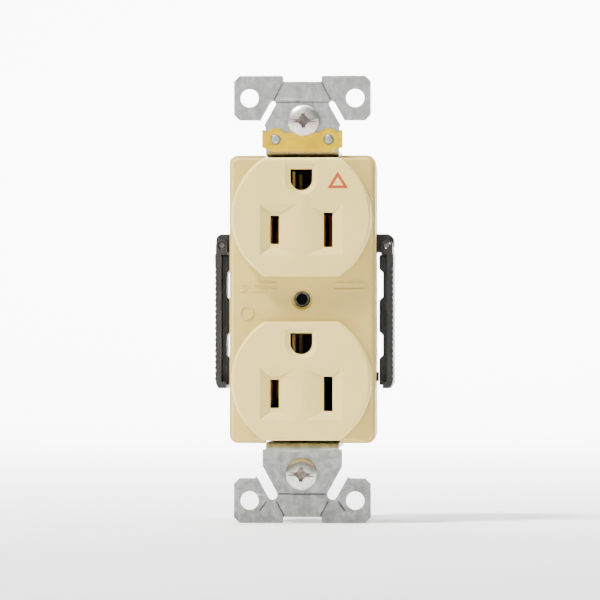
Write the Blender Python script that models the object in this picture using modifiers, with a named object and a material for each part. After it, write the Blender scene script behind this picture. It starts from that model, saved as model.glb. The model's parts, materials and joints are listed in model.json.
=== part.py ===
"""Duplex wall outlet, isolated-ground type, with hinged terminal guards.

Metres, +Z up. X runs to the right seen from the front, and Y runs back into the wall.
The origin is the centre of the mounting ears' back plane, which rests on the wall.
"""

import math

import bmesh
import bpy
from mathutils import Matrix, Vector

# ---- Clearances -------------------------------------------------------------------
FIT = 0.0003            # between two pieces that seat on each other
SLIDE_FIT = 0.00015     # between a shank or pin and its hole, on the radius
REACH = 0.0010          # how far a cutter runs past the face it cuts
LAP = 0.0002            # how far joined shapes run into each other

# ---- Outlet faces -----------------------------------------------------------------
OUTLET_PITCH = 0.0389
FACE_RADIUS = 0.01665
FACE_FLATNESS = 0.8468          # the flats' distance from the centre, as a share of the radius
FACE_EDGE = 0.0009
FACE_FRONT = -0.0069
FACE_WALL = 0.0025
BLADE_SPACING = 0.0127
BLADE_SLOT_WIDTH = 0.0021
HOT_SLOT_LENGTH = 0.00675
NEUTRAL_SLOT_LENGTH = 0.0082
BLADES_BELOW_FACE = 0.00305
PIN_ABOVE_FACE = 0.00895
PIN_HOLE_RADIUS = 0.00262
PIN_FLAT_ABOVE = 0.0024
VALLEY_DEPTH = 0.0012
VALLEY_HALF_WIDTH = 0.0098
VALLEY_TOP = 0.00305
VALLEY_BOTTOM = -0.0092
VALLEY_TOP_SLOPE = 0.00205
VALLEY_BOTTOM_SLOPE = 0.00185
VALLEY_RIDGE = 0.0002

# ---- Face cover -------------------------------------------------------------------
PLATEAU_FRONT = -0.0030
PLATEAU_MARGIN = 0.00005
PLATEAU_CORNER = 0.0014
PLATEAU_EDGE = 0.0005
LEDGE_FRONT = -0.0005
LEDGE_WIDTH = 0.0007
LEDGE_CORNER = 0.0020
SKIRT_BACK = 0.0060
SKIRT_WALL = 0.0012
STRAP_NOTCH_DEPTH = 0.0006
PLATEAU_WALL = 0.0018
POST_RADIUS = 0.0024
POST_BACK = 0.0045

# ---- Mounting strap ---------------------------------------------------------------
STRAP_THICKNESS = 0.00127
STRAP_BEND = 0.0016
WRAP_HALF_WIDTH = 0.0087
TOP_NECK_HALF_WIDTH = 0.00877
BOTTOM_NECK_HALF_WIDTH = 0.00946
EAR_HALF_WIDTH = 0.0163
EAR_END_REACH = 0.0191          # from the strap's wrap out to the ear's end
EAR_LENGTH = 0.0106
EAR_CHAMFER = 0.0013
TOP_EAR_CORNER_X = 0.0103
BOTTOM_EAR_CORNER_X = 0.0112
TOP_NECK_LENGTH = 0.0069        # from the wrap out to the neck's last corner
BOTTOM_NECK_LENGTH = 0.0054
EAR_NOTCH_HALF_WIDTH = 0.0046
EAR_NOTCH_DEPTH = 0.0014
EAR_HOLE_RADIUS = 0.0022
EAR_HOLE_X = 0.0126
EAR_HOLE_INSET = 0.0053         # from the ear's end to its hole
TOP_SLOT_RADIUS = 0.0007
TOP_SLOT_INNER = (0.00705, 0.0067)      # X, and inset from the ear's end
TOP_SLOT_OUTER = (0.0104, 0.0127)
BOTTOM_SLOT_RADIUS = 0.0012
BOTTOM_SLOT_INNER = (0.00715, 0.0067)
BOTTOM_SLOT_OUTER = (0.0108, 0.0134)
STUD_X = 0.0063
STUD_RADIUS = 0.0011
STUD_HEIGHT = 0.0011
STUD_BEYOND_WRAP = 0.0039

# ---- Screws -----------------------------------------------------------------------
MOUNT_SCREW_BEYOND_WRAP = 0.00755
MOUNT_SCREW_RADIUS = 0.00165
MOUNT_HEAD_RADIUS = 0.00383
MOUNT_HEAD_HEIGHT = 0.0021
MOUNT_SCREW_LENGTH = 0.0190
MOUNT_HOLE_HALF_SLOT = 0.0008
UPPER_SCREW_SHIFT = (0.00035, 0.00075)  # how the loose upper screw sits in its slot, X and Z
LOWER_SCREW_SHIFT = (-0.0002, 0.0)
WASHER_RADIUS = 0.0040
WASHER_THICKNESS = 0.0008
TERMINAL_SCREW_RADIUS = 0.00208
TERMINAL_HEAD_RADIUS = 0.00355
TERMINAL_HEAD_HEIGHT = 0.00245
TERMINAL_TRAVEL = 0.0025
SLOT_WIDTH = 0.0010
SLOT_DEPTH = 0.0011
ASSEMBLY_SCREW_RADIUS = 0.00135
ASSEMBLY_HEAD_RADIUS = 0.0024
ASSEMBLY_HEAD_HEIGHT = 0.0011
ASSEMBLY_SCREW_X = 0.0063
ASSEMBLY_SCREW_INSET = 0.0037   # from the wrap's inner face

# ---- Rear body --------------------------------------------------------------------
BODY_BACK = 0.0239
BODY_SIDE_STEP = 0.00035        # the body's side stands this far inside the cover's
BODY_END_STEP = 0.0003
BODY_CORNER = 0.0012
CAVITY_INNER = 0.0043
CAVITY_OUTER = 0.0093
CAVITY_BACK = 0.0174
WELL_INNER = 0.0101
WELL_FRONT = 0.0072

# ---- Terminals --------------------------------------------------------------------
TERMINAL_CENTRE_Z = -0.00365
TERMINAL_PITCH = 0.0145
TERMINAL_Y = 0.0122
TAB_INNER = 0.0104
TAB_THICKNESS = 0.0008
TAB_FRONT = 0.0076
CLAMP_THICKNESS = 0.0012
CLAMP_HALF_HEIGHT = 0.0048
CLAMP_HALF_DEPTH = 0.0040
WIRE_HOLE_RADIUS = 0.0016
WIRE_HOLE_OFFSET = 0.0034       # from the screw's axis, along Z
GROUND_TERMINAL_ABOVE_FACE = 0.00705

# ---- Contacts ---------------------------------------------------------------------
CONTACT_THICKNESS = 0.0007
CONTACT_FRONT = 0.0020
CONTACT_LIP = 0.0010
CONTACT_PINCH = 0.0004
CONTACT_PINCH_Y = 0.0070
CONTACT_ROOT = 0.0011
BAR_FRONT = 0.0162
BAR_THICKNESS = 0.0008
BAR_INNER = 0.0050
BAR_OUTER = 0.0087
GROUND_BAR_HALF_WIDTH = 0.0026
GROUND_BAR_FRONT = 0.0212
GROUND_BRANCH_HALF_WIDTH = 0.0015
GROUND_LEAF_X = 0.0033
GROUND_LEAF_FRONT = 0.0030
GROUND_LEAF_TIP = -0.0006
GROUND_LEAF_TIP_Y = 0.0110
INSULATOR_MARGIN = 0.0011
INSULATOR_THICKNESS = 0.0008

# ---- Centre bushing ---------------------------------------------------------------
BUSHING_RADIUS = 0.00175
BUSHING_BORE = 0.0013
BUSHING_FRONT = -0.0022
BUSHING_BACK = 0.0100
BUSHING_COLLAR = 0.0024
BUSHING_COLLAR_FRONT = 0.0015
COUNTERSINK_RADIUS = 0.0026
COUNTERSINK_DEPTH = 0.0006

# ---- Grounding clip ---------------------------------------------------------------
CLIP_THICKNESS = 0.00045
CLIP_GAP = 0.00015
CLIP_HALF_WIDTH = 0.00955
CLIP_BOTTOM = 0.0010            # heights above the strap's wrap
CLIP_SIDE_BOTTOM = 0.0020
CLIP_SIDE_TOP = 0.0062
CLIP_LOBE_RADIUS = 0.0027
CLIP_SCREW_HOLE = 0.0023

# ---- Terminal guards --------------------------------------------------------------
GUARD_BLOCK_GAP = 0.00055       # from the cover's side to the guard's blocks
GUARD_FLANGE_GAP = 0.00145
GUARD_WALL_GAP = 0.00245
GUARD_WALL = 0.0016
GUARD_FRONT = 0.0066
GUARD_BACK = 0.0214
GUARD_RIB_FRONT = 0.0104
GUARD_RIB_BACK = 0.0176
GUARD_PIVOT_ABOVE = 0.0095      # from the upper terminal's axis
GUARD_KNUCKLE = 0.0014
GUARD_PIN_RADIUS = 0.00075
GUARD_WALL_BELOW_PIVOT = 0.0021
GUARD_BOTTOM_BELOW = 0.0104     # from the lower terminal's axis
GUARD_WINDOWS = (0.0038, 0.0033)        # half heights about the upper and lower terminals
GUARD_BLOCK_SLOPE = 0.0009
GUARD_FOOT = 0.0008
HINGE_EAR_FRONTS = (0.0098, 0.0180)
HINGE_EAR_THICKNESS = 0.0020
HINGE_EAR_ABOVE_PIVOT = 0.0027
HINGE_EAR_BELOW_PIVOT = 0.0016
HINGE_EAR_CORNER = 0.0015
LATCH_DEPTH = 0.00025
LATCH_TOP_ABOVE_FOOT = 0.0039
LATCH_BOTTOM_ABOVE_FOOT = 0.0017
LATCH_FRONT = 0.0120
LATCH_BACK = 0.0160

# ---- Sizes that follow ------------------------------------------------------------
FACE_Z = OUTLET_PITCH / 2
FACE_HALF_HEIGHT = FACE_FLATNESS * FACE_RADIUS
PLATEAU_HALF_WIDTH = FACE_RADIUS + PLATEAU_MARGIN
PLATEAU_HALF_HEIGHT = FACE_Z + FACE_HALF_HEIGHT + PLATEAU_MARGIN
COVER_HALF_WIDTH = PLATEAU_HALF_WIDTH + LEDGE_WIDTH
COVER_HALF_HEIGHT = PLATEAU_HALF_HEIGHT + LEDGE_WIDTH
SHELL_HALF_WIDTH = COVER_HALF_WIDTH - SKIRT_WALL
SHELL_HALF_HEIGHT = COVER_HALF_HEIGHT - STRAP_NOTCH_DEPTH - SKIRT_WALL
SHELL_CEILING = PLATEAU_FRONT + PLATEAU_WALL
POCKET_CEILING = FACE_FRONT + FACE_WALL
BODY_HALF_WIDTH = COVER_HALF_WIDTH - BODY_SIDE_STEP
BODY_HALF_HEIGHT = COVER_HALF_HEIGHT - STRAP_NOTCH_DEPTH - BODY_END_STEP
BODY_FRONT = SHELL_CEILING + FIT
BODY_STEP = SKIRT_BACK + FIT
WRAP_Z = COVER_HALF_HEIGHT - STRAP_NOTCH_DEPTH + 1.5 * FIT
WRAP_BACK = BODY_BACK + FIT
EAR_END = WRAP_Z + EAR_END_REACH
MOUNT_SCREW_Z = WRAP_Z + MOUNT_SCREW_BEYOND_WRAP
BLADE_X = BLADE_SPACING / 2
TAB_OUTER = TAB_INNER + TAB_THICKNESS
CLAMP_INNER = TAB_OUTER + SLIDE_FIT
CLAMP_OUTER = CLAMP_INNER + CLAMP_THICKNESS
HEAD_INNER = CLAMP_OUTER + SLIDE_FIT
HEAD_OUTER = HEAD_INNER + TERMINAL_HEAD_HEIGHT
SHANK_TIP = TAB_OUTER - TERMINAL_TRAVEL - TAB_THICKNESS
TERMINAL_HEIGHTS = (TERMINAL_CENTRE_Z + TERMINAL_PITCH / 2, TERMINAL_CENTRE_Z - TERMINAL_PITCH / 2)
GROUND_TERMINAL_Z = FACE_Z + GROUND_TERMINAL_ABOVE_FACE
WIRE_HOLE_X = TAB_OUTER + WIRE_HOLE_RADIUS - SLIDE_FIT
BAR_BACK = BAR_FRONT + BAR_THICKNESS
GROUND_BAR_BACK = GROUND_BAR_FRONT + BAR_THICKNESS
INSULATOR_FRONT = GROUND_BAR_BACK + FIT
INSULATOR_BACK = INSULATOR_FRONT + INSULATOR_THICKNESS
GUARD_BLOCK_X = COVER_HALF_WIDTH + GUARD_BLOCK_GAP
GUARD_FLANGE_X = COVER_HALF_WIDTH + GUARD_FLANGE_GAP
GUARD_WALL_X = COVER_HALF_WIDTH + GUARD_WALL_GAP
GUARD_OUTER_X = GUARD_WALL_X + GUARD_WALL
GUARD_PIVOT_X = GUARD_WALL_X
GUARD_PIVOT_Z = TERMINAL_HEIGHTS[0] + GUARD_PIVOT_ABOVE
GUARD_WALL_TOP = GUARD_PIVOT_Z - GUARD_WALL_BELOW_PIVOT
GUARD_BOTTOM = TERMINAL_HEIGHTS[1] - GUARD_BOTTOM_BELOW
GUARD_BLOCKS = (
    (GUARD_WALL_TOP, TERMINAL_HEIGHTS[0] + GUARD_WINDOWS[0]),
    (TERMINAL_HEIGHTS[0] - GUARD_WINDOWS[0], TERMINAL_HEIGHTS[1] + GUARD_WINDOWS[1]),
    (TERMINAL_HEIGHTS[1] - GUARD_WINDOWS[1], GUARD_BOTTOM + GUARD_FOOT),
)
HINGE_EAR_TOP = GUARD_PIVOT_Z + HINGE_EAR_ABOVE_PIVOT
HINGE_EAR_BOTTOM = GUARD_PIVOT_Z - HINGE_EAR_BELOW_PIVOT
LATCH_TOP = GUARD_BOTTOM + LATCH_TOP_ABOVE_FOOT
LATCH_BOTTOM = GUARD_BOTTOM + LATCH_BOTTOM_ABOVE_FOOT

ROUND = 24
SMALL_ROUND = 16
ARC = 4

# Each plane's matrix takes an outline's (u, v) and its thickness w into X, Y and Z.
PLANES = {
    "XZ": Matrix(((1, 0, 0, 0), (0, 0, -1, 0), (0, 1, 0, 0), (0, 0, 0, 1))),
    "YZ": Matrix(((0, 0, 1, 0), (1, 0, 0, 0), (0, 1, 0, 0), (0, 0, 0, 1))),
    "XY": Matrix.Identity(4),
}
AXES = {"X": Matrix.Rotation(math.pi / 2, 4, "Y"), "Y": Matrix.Rotation(-math.pi / 2, 4, "X")}


# ---- Scene and materials ----------------------------------------------------------
def clear_scene():
    for obj in list(bpy.data.objects):
        bpy.data.objects.remove(obj)


def new_collection(name):
    collection = bpy.data.collections.new(name)
    bpy.context.scene.collection.children.link(collection)
    return collection


def new_material(name, colour, roughness, metallic=0.0):
    material = bpy.data.materials.new(name)
    material.use_nodes = True
    shader = material.node_tree.nodes["Principled BSDF"]
    shader.inputs["Base Color"].default_value = (*colour, 1.0)
    shader.inputs["Roughness"].default_value = roughness
    shader.inputs["Metallic"].default_value = metallic
    return material


clear_scene()
PARTS = new_collection("duplex_wall_outlet")
CUTTERS = new_collection("cutters")
IVORY = new_material("ivory_nylon", (0.73, 0.62, 0.44), 0.42)
BLACK = new_material("black_nylon", (0.018, 0.018, 0.016), 0.5)
STEEL = new_material("galvanised_steel", (0.42, 0.43, 0.41), 0.38, 1.0)
NICKEL = new_material("nickel_plate", (0.55, 0.52, 0.47), 0.3, 1.0)
BRASS = new_material("brass", (0.78, 0.56, 0.2), 0.32, 1.0)
GREEN = new_material("green_plate", (0.05, 0.3, 0.1), 0.4, 1.0)
FIBRE = new_material("red_fibre", (0.25, 0.07, 0.04), 0.8)


# ---- Shapes -----------------------------------------------------------------------
def add_mesh(name, mesh, collection, material=None):
    obj = bpy.data.objects.new(name, mesh)
    collection.objects.link(obj)
    if material:
        mesh.materials.append(material)
    if collection is CUTTERS:
        obj.hide_render = True
        obj.display_type = "WIRE"
    return obj


def mesh_of(bm, name):
    mesh = bpy.data.meshes.new(name)
    bmesh.ops.recalc_face_normals(bm, faces=bm.faces)
    bm.to_mesh(mesh)
    bm.free()
    return mesh


def box(name, low, high, collection=CUTTERS, material=None):
    """A box between two corners, given in any order."""
    low, high = Vector(map(min, low, high)), Vector(map(max, low, high))
    bm = bmesh.new()
    bmesh.ops.create_cube(bm, size=1.0)
    bmesh.ops.scale(bm, vec=high - low, verts=bm.verts)
    bmesh.ops.translate(bm, vec=(low + high) / 2, verts=bm.verts)
    return add_mesh(name, mesh_of(bm, name), collection, material)


def rod(name, axis, centre, start, end, radius, collection=CUTTERS, material=None, end_radius=None):
    """A cylinder or cone along X or Y, from start to end on that axis, about the other two of centre."""
    bm = bmesh.new()
    bmesh.ops.create_cone(
        bm,
        cap_ends=True,
        segments=ROUND if radius > BUSHING_RADIUS else SMALL_ROUND,
        radius1=radius,
        radius2=radius if end_radius is None else end_radius,
        depth=abs(end - start),
    )
    turn = AXES[axis]
    if end < start:
        turn = Matrix.Rotation(math.pi, 4, "Z") @ turn
    bmesh.ops.transform(bm, matrix=turn, verts=bm.verts)
    place = Vector(centre)
    place["XY".index(axis)] = (start + end) / 2
    bmesh.ops.translate(bm, vec=place, verts=bm.verts)
    mesh = mesh_of(bm, name)
    mesh.shade_smooth()
    mesh.set_sharp_from_angle(angle=math.radians(35))
    return add_mesh(name, mesh, collection, material)


def plate(name, outline, plane, low, high, collection=CUTTERS, material=None):
    """A flat outline in a plane, as a filled 2D curve made into a solid between two depths."""
    curve = bpy.data.curves.new(name, "CURVE")
    curve.dimensions = "2D"
    curve.fill_mode = "BOTH"
    curve.extrude = abs(high - low) / 2
    spline = curve.splines.new("POLY")
    spline.points.add(len(outline) - 1)
    for point, (u, v) in zip(spline.points, outline):
        point.co = (u, v, 0, 1)
    spline.use_cyclic_u = True
    guide = bpy.data.objects.new(name + "_outline", curve)
    CUTTERS.objects.link(guide)
    graph = bpy.context.evaluated_depsgraph_get()
    mesh = bpy.data.meshes.new_from_object(guide.evaluated_get(graph))
    bpy.data.objects.remove(guide)
    bpy.data.curves.remove(curve)
    mesh.transform(PLANES[plane])
    normal = PLANES[plane].to_3x3() @ Vector((0, 0, 1))
    shift = Vector(abs(part) for part in normal) * (low + high) / 2
    mesh.transform(Matrix.Translation(shift))
    bm = bmesh.new()
    bm.from_mesh(mesh)
    bmesh.ops.remove_doubles(bm, verts=bm.verts, dist=1e-6)
    bpy.data.meshes.remove(mesh)
    return add_mesh(name, mesh_of(bm, name), collection, material)


def hull(name, points, collection=CUTTERS, material=None):
    bm = bmesh.new()
    for point in points:
        bm.verts.new(point)
    bmesh.ops.convex_hull(bm, input=bm.verts)
    return add_mesh(name, mesh_of(bm, name), collection, material)


def arc(centre, radius, start, sweep, steps):
    return [
        (
            centre[0] + radius * math.cos(start + sweep * step / steps),
            centre[1] + radius * math.sin(start + sweep * step / steps),
        )
        for step in range(steps + 1)
    ]


def rounded(corners, steps=ARC):
    """An outline through corners given as (u, v) or, with a rounding radius, (u, v, radius)."""
    outline = []
    for index, corner in enumerate(corners):
        here = Vector(corner[:2])
        radius = corner[2] if len(corner) > 2 else 0
        if not radius:
            outline.append(tuple(here))
            continue
        back = (Vector(corners[index - 1][:2]) - here).normalized()
        ahead = (Vector(corners[(index + 1) % len(corners)][:2]) - here).normalized()
        half = back.angle(ahead) / 2
        centre = here + (back + ahead).normalized() * radius / math.sin(half)
        first = here + back * radius / math.tan(half) - centre
        last = here + ahead * radius / math.tan(half) - centre
        start = math.atan2(first.y, first.x)
        sweep = math.remainder(math.atan2(last.y, last.x) - start, 2 * math.pi)
        outline += arc(centre, radius, start, sweep, steps)
    return outline


def rectangle(low_u, low_v, high_u, high_v, radius=0, steps=ARC):
    corners = ((low_u, low_v), (high_u, low_v), (high_u, high_v), (low_u, high_v))
    return rounded([(*corner, radius) for corner in corners], steps)


def capsule(start, end, radius, steps=8):
    """The outline swept by a circle from start to end."""
    heading = math.atan2(end[1] - start[1], end[0] - start[0])
    return arc(end, radius, heading - math.pi / 2, math.pi, steps) + arc(
        start, radius, heading + math.pi / 2, math.pi, steps
    )


def boolean(target, operation, tools):
    for tool in tools:
        modifier = target.modifiers.new(tool.name, "BOOLEAN")
        modifier.operation = operation
        modifier.solver = "EXACT"
        modifier.object = tool
    return target


def cut(target, *tools):
    return boolean(target, "DIFFERENCE", tools)


def join(target, *tools):
    return boolean(target, "UNION", tools)


def keep_common(target, *tools):
    return boolean(target, "INTERSECT", tools)


def bevel(obj, width, segments, angle=60):
    modifier = obj.modifiers.new("rounding", "BEVEL")
    modifier.width = width
    modifier.segments = segments
    modifier.limit_method = "ANGLE"
    modifier.angle_limit = math.radians(angle)
    return obj


def set_origin(obj, point):
    obj.data.transform(Matrix.Translation(-Vector(point)))
    obj.location = point


# ---- Outlet openings --------------------------------------------------------------
def face_outline(inset=0.0, centre_z=0.0):
    """A circle with a flat cut across its top and its bottom."""
    radius = FACE_RADIUS - inset
    half = math.asin((FACE_HALF_HEIGHT - inset) / radius)
    return arc((0, centre_z), radius, -half, 2 * half, 14) + arc(
        (0, centre_z), radius, math.pi - half, 2 * half, 14
    )


def pin_hole_outline(centre_z):
    pin_z = centre_z + PIN_ABOVE_FACE
    top = pin_z + PIN_FLAT_ABOVE
    return [(PIN_HOLE_RADIUS, top), (-PIN_HOLE_RADIUS, top)] + arc(
        (0, pin_z), PIN_HOLE_RADIUS, math.pi, math.pi, 12
    )


def blade_slots(centre_z):
    """The centre X and length of each of an outlet's two slots, with the height they share."""
    height = centre_z - BLADES_BELOW_FACE
    return ((-BLADE_X, HOT_SLOT_LENGTH, height), (BLADE_X, NEUTRAL_SLOT_LENGTH, height))


def valley(name, side, centre_z):
    """The sloping recess that leads a blade into its slot."""
    above = FACE_FRONT - REACH
    top = centre_z + VALLEY_TOP
    bottom = centre_z + VALLEY_BOTTOM
    floor = FACE_FRONT + VALLEY_DEPTH
    rim = [(side * x, z) for x in (VALLEY_RIDGE, VALLEY_HALF_WIDTH) for z in (top, bottom)]
    points = [(x, y, z) for x, z in rim for y in (above, FACE_FRONT)]
    points += [
        (side * BLADE_X, floor, top - VALLEY_TOP_SLOPE),
        (side * BLADE_X, floor, bottom + VALLEY_BOTTOM_SLOPE),
    ]
    return hull(name, points)


def outlet_cutters(name, centre_z):
    tools = [plate(name + "_pocket", face_outline(FACE_WALL, centre_z), "XZ", POCKET_CEILING, 0)]
    for side in (-1, 1):
        tools.append(valley(f"{name}_valley_{side}", side, centre_z))
    for x, length, z in blade_slots(centre_z):
        low = (x - BLADE_SLOT_WIDTH / 2, FACE_FRONT - REACH, z - length / 2)
        high = (x + BLADE_SLOT_WIDTH / 2, 0, z + length / 2)
        tools.append(box(f"{name}_slot_{x:.4f}", low, high))
    tools.append(plate(name + "_pin", pin_hole_outline(centre_z), "XZ", FACE_FRONT - REACH, 0))
    return tools


# ---- Face cover -------------------------------------------------------------------
def assembly_screws():
    """Where the two screws from the back stand: a side, and the height that goes with it."""
    height = WRAP_Z - ASSEMBLY_SCREW_INSET
    return ((-ASSEMBLY_SCREW_X, height), (ASSEMBLY_SCREW_X, -height))


def make_face_cover():
    outline = rectangle(
        -COVER_HALF_WIDTH, -COVER_HALF_HEIGHT, COVER_HALF_WIDTH, COVER_HALF_HEIGHT, LEDGE_CORNER
    )
    cover = plate("face_cover", outline, "XZ", LEDGE_FRONT, SKIRT_BACK, PARTS, IVORY)
    outline = rectangle(
        -PLATEAU_HALF_WIDTH,
        -PLATEAU_HALF_HEIGHT,
        PLATEAU_HALF_WIDTH,
        PLATEAU_HALF_HEIGHT,
        PLATEAU_CORNER,
    )
    plateau = plate("cover_plateau", outline, "XZ", PLATEAU_FRONT, LEDGE_FRONT + PLATEAU_EDGE + LAP)
    join(cover, bevel(plateau, PLATEAU_EDGE, 2))
    faces = {"upper": FACE_Z, "lower": -FACE_Z}
    for name, z in faces.items():
        back = PLATEAU_FRONT + FACE_EDGE + LAP
        raised = plate(f"{name}_face", face_outline(0, z), "XZ", FACE_FRONT, back)
        join(cover, bevel(raised, FACE_EDGE, 3))
    shell = rectangle(
        -SHELL_HALF_WIDTH, -SHELL_HALF_HEIGHT, SHELL_HALF_WIDTH, SHELL_HALF_HEIGHT, SKIRT_WALL
    )
    cut(cover, plate("shell_hollow", shell, "XZ", SHELL_CEILING, SKIRT_BACK + REACH))
    notch_half = WRAP_HALF_WIDTH + FIT
    for end in (-1, 1):
        low = (-notch_half, LEDGE_FRONT - REACH, end * (COVER_HALF_HEIGHT - STRAP_NOTCH_DEPTH))
        high = (notch_half, SKIRT_BACK + REACH, end * (COVER_HALF_HEIGHT + REACH))
        cut(cover, box(f"strap_notch_{end}", low, high))
    for name, z in faces.items():
        cut(cover, *outlet_cutters(name, z))
    for x, z in assembly_screws():
        post = rod(f"post_{z:.3f}", "Y", (x, 0, z), POCKET_CEILING - LAP, POST_BACK, POST_RADIUS)
        bore = rod(
            f"post_bore_{z:.3f}", "Y", (x, 0, z), 0, POST_BACK + REACH, ASSEMBLY_SCREW_RADIUS + SLIDE_FIT
        )
        join(cover, post)
        cut(cover, bore)
    sink = rod(
        "countersink",
        "Y",
        (0, 0, 0),
        PLATEAU_FRONT,
        PLATEAU_FRONT + COUNTERSINK_DEPTH,
        COUNTERSINK_RADIUS,
        end_radius=BUSHING_RADIUS,
    )
    hole = rod("centre_hole", "Y", (0, 0, 0), PLATEAU_FRONT - REACH, 0, BUSHING_RADIUS + SLIDE_FIT)
    cut(cover, sink, hole)
    return cover


# ---- Rear body --------------------------------------------------------------------
def hinge_ear(name, side, front):
    inner = side * (BODY_HALF_WIDTH - LAP)
    outer = side * (GUARD_OUTER_X - GUARD_WALL / 2 + HINGE_EAR_CORNER / 2)
    corners = [
        (inner, HINGE_EAR_BOTTOM),
        (outer, HINGE_EAR_BOTTOM, HINGE_EAR_CORNER),
        (outer, HINGE_EAR_TOP, HINGE_EAR_CORNER),
        (inner, HINGE_EAR_TOP),
    ]
    back = front + HINGE_EAR_THICKNESS
    ear = plate(name, rounded(corners), "XZ", front, back)
    pivot = (side * GUARD_PIVOT_X, 0, GUARD_PIVOT_Z)
    hole = rod(name + "_hole", "Y", pivot, front - REACH, back + REACH, GUARD_PIN_RADIUS + SLIDE_FIT)
    return ear, hole


def contact_cavities():
    """Front-loaded chambers for the two contact strips, one each side."""
    low_z = -FACE_Z - BLADES_BELOW_FACE - NEUTRAL_SLOT_LENGTH / 2 - 2 * FIT
    high_z = FACE_Z - BLADES_BELOW_FACE + NEUTRAL_SLOT_LENGTH / 2 + 2 * FIT
    return [
        box(
            f"cavity_{side}",
            (side * CAVITY_INNER, BODY_FRONT - REACH, low_z),
            (side * CAVITY_OUTER, CAVITY_BACK, high_z),
        )
        for side in (-1, 1)
    ]


def ground_cavities():
    """Chambers for the ground contacts, loaded from the back, and the channel of their bar."""
    tools = []
    for name, z in (("upper", FACE_Z), ("lower", -FACE_Z)):
        low, high = ground_contact_heights(z)
        tools.append(
            box(
                f"{name}_ground_cavity",
                (-GROUND_LEAF_X - FIT, BODY_FRONT - REACH, low - FIT),
                (GROUND_LEAF_X + FIT, GROUND_BAR_BACK, high + FIT),
            )
        )
    channel = plate("ground_channel", ground_outline(FIT), "XZ", GROUND_BAR_FRONT - FIT, BODY_BACK)
    recess = plate(
        "insulator_recess",
        ground_outline(INSULATOR_MARGIN + FIT),
        "XZ",
        INSULATOR_FRONT,
        BODY_BACK + REACH,
    )
    return tools + [channel, recess]


def terminal_cutters(name, side, heights):
    """A side well with its tab opening, the screws' inner bores, and the wire holes from the back."""
    low_z = min(heights) - CLAMP_HALF_HEIGHT - FIT
    high_z = max(heights) + CLAMP_HALF_HEIGHT + FIT
    outside = side * (BODY_HALF_WIDTH + REACH)
    tools = [box(name + "_well", (side * WELL_INNER, WELL_FRONT, low_z), (outside, CAVITY_BACK, high_z))]
    for height in heights:
        place = (0, TERMINAL_Y, height)
        bore = rod(
            f"{name}_bore_{height:.4f}",
            "X",
            place,
            side * (SHANK_TIP - FIT),
            side * (TAB_INNER + FIT),
            TERMINAL_SCREW_RADIUS + FIT,
        )
        tools.append(bore)
        for offset in (-WIRE_HOLE_OFFSET, WIRE_HOLE_OFFSET):
            centre = (side * WIRE_HOLE_X, 0, height + offset)
            hole_name = f"{name}_wire_{height + offset:.4f}"
            tools.append(
                rod(hole_name, "Y", centre, CAVITY_BACK - REACH, BODY_BACK + REACH, WIRE_HOLE_RADIUS)
            )
    return tools


def make_rear_body():
    outline = rectangle(
        -BODY_HALF_WIDTH, -BODY_HALF_HEIGHT, BODY_HALF_WIDTH, BODY_HALF_HEIGHT, BODY_CORNER
    )
    body = plate("rear_body", outline, "XZ", BODY_STEP, BODY_BACK, PARTS, BLACK)
    inner_x = SHELL_HALF_WIDTH - FIT
    inner_z = SHELL_HALF_HEIGHT - FIT
    inner = rectangle(-inner_x, -inner_z, inner_x, inner_z, SKIRT_WALL)
    join(body, plate("body_front", inner, "XZ", BODY_FRONT, BODY_STEP + LAP))
    for side in (-1, 1):
        for front in HINGE_EAR_FRONTS:
            ear, hole = hinge_ear(f"hinge_ear_{side}_{front:.4f}", side, front)
            join(body, ear)
            cut(body, hole)
        latch_low = (side * (BODY_HALF_WIDTH - LAP), LATCH_FRONT, LATCH_BOTTOM)
        latch_high = (side * (GUARD_BLOCK_X - LATCH_DEPTH), LATCH_BACK, LATCH_TOP)
        join(body, box(f"latch_{side}", latch_low, latch_high))
    cut(body, *contact_cavities())
    cut(body, *ground_cavities())
    tab_bottom = min(TERMINAL_HEIGHTS) - CLAMP_HALF_HEIGHT - FIT
    tab_top = max(TERMINAL_HEIGHTS) + CLAMP_HALF_HEIGHT + FIT
    for side in (-1, 1):
        cut(body, *terminal_cutters(f"terminal_{side}", side, TERMINAL_HEIGHTS))
        low = (side * (CAVITY_OUTER - LAP), BAR_FRONT - FIT, tab_bottom)
        high = (side * (TAB_INNER + FIT), CAVITY_BACK, tab_top)
        cut(body, box(f"tab_opening_{side}", low, high))
    cut(body, *terminal_cutters("terminal_ground", 1, (GROUND_TERMINAL_Z,)))
    tab_slot = box(
        "ground_tab_slot",
        (TAB_INNER - FIT, CAVITY_BACK - LAP, GROUND_TERMINAL_Z - CLAMP_HALF_HEIGHT - FIT),
        (TAB_OUTER + FIT, GROUND_BAR_BACK + FIT, GROUND_TERMINAL_Z + CLAMP_HALF_HEIGHT + FIT),
    )
    cut(body, tab_slot)
    front = BODY_FRONT - REACH
    cut(body, rod("bushing_pocket", "Y", (0, 0, 0), front, BUSHING_BACK + FIT, BUSHING_COLLAR + FIT))
    screw_way = ASSEMBLY_SCREW_RADIUS + SLIDE_FIT
    for x, z in assembly_screws():
        wide = rod(f"post_way_{z:.3f}", "Y", (x, 0, z), front, POST_BACK + FIT, POST_RADIUS + FIT)
        narrow = rod(f"screw_way_{z:.3f}", "Y", (x, 0, z), POST_BACK, BODY_BACK + REACH, screw_way)
        cut(body, wide, narrow)
    return body


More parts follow.
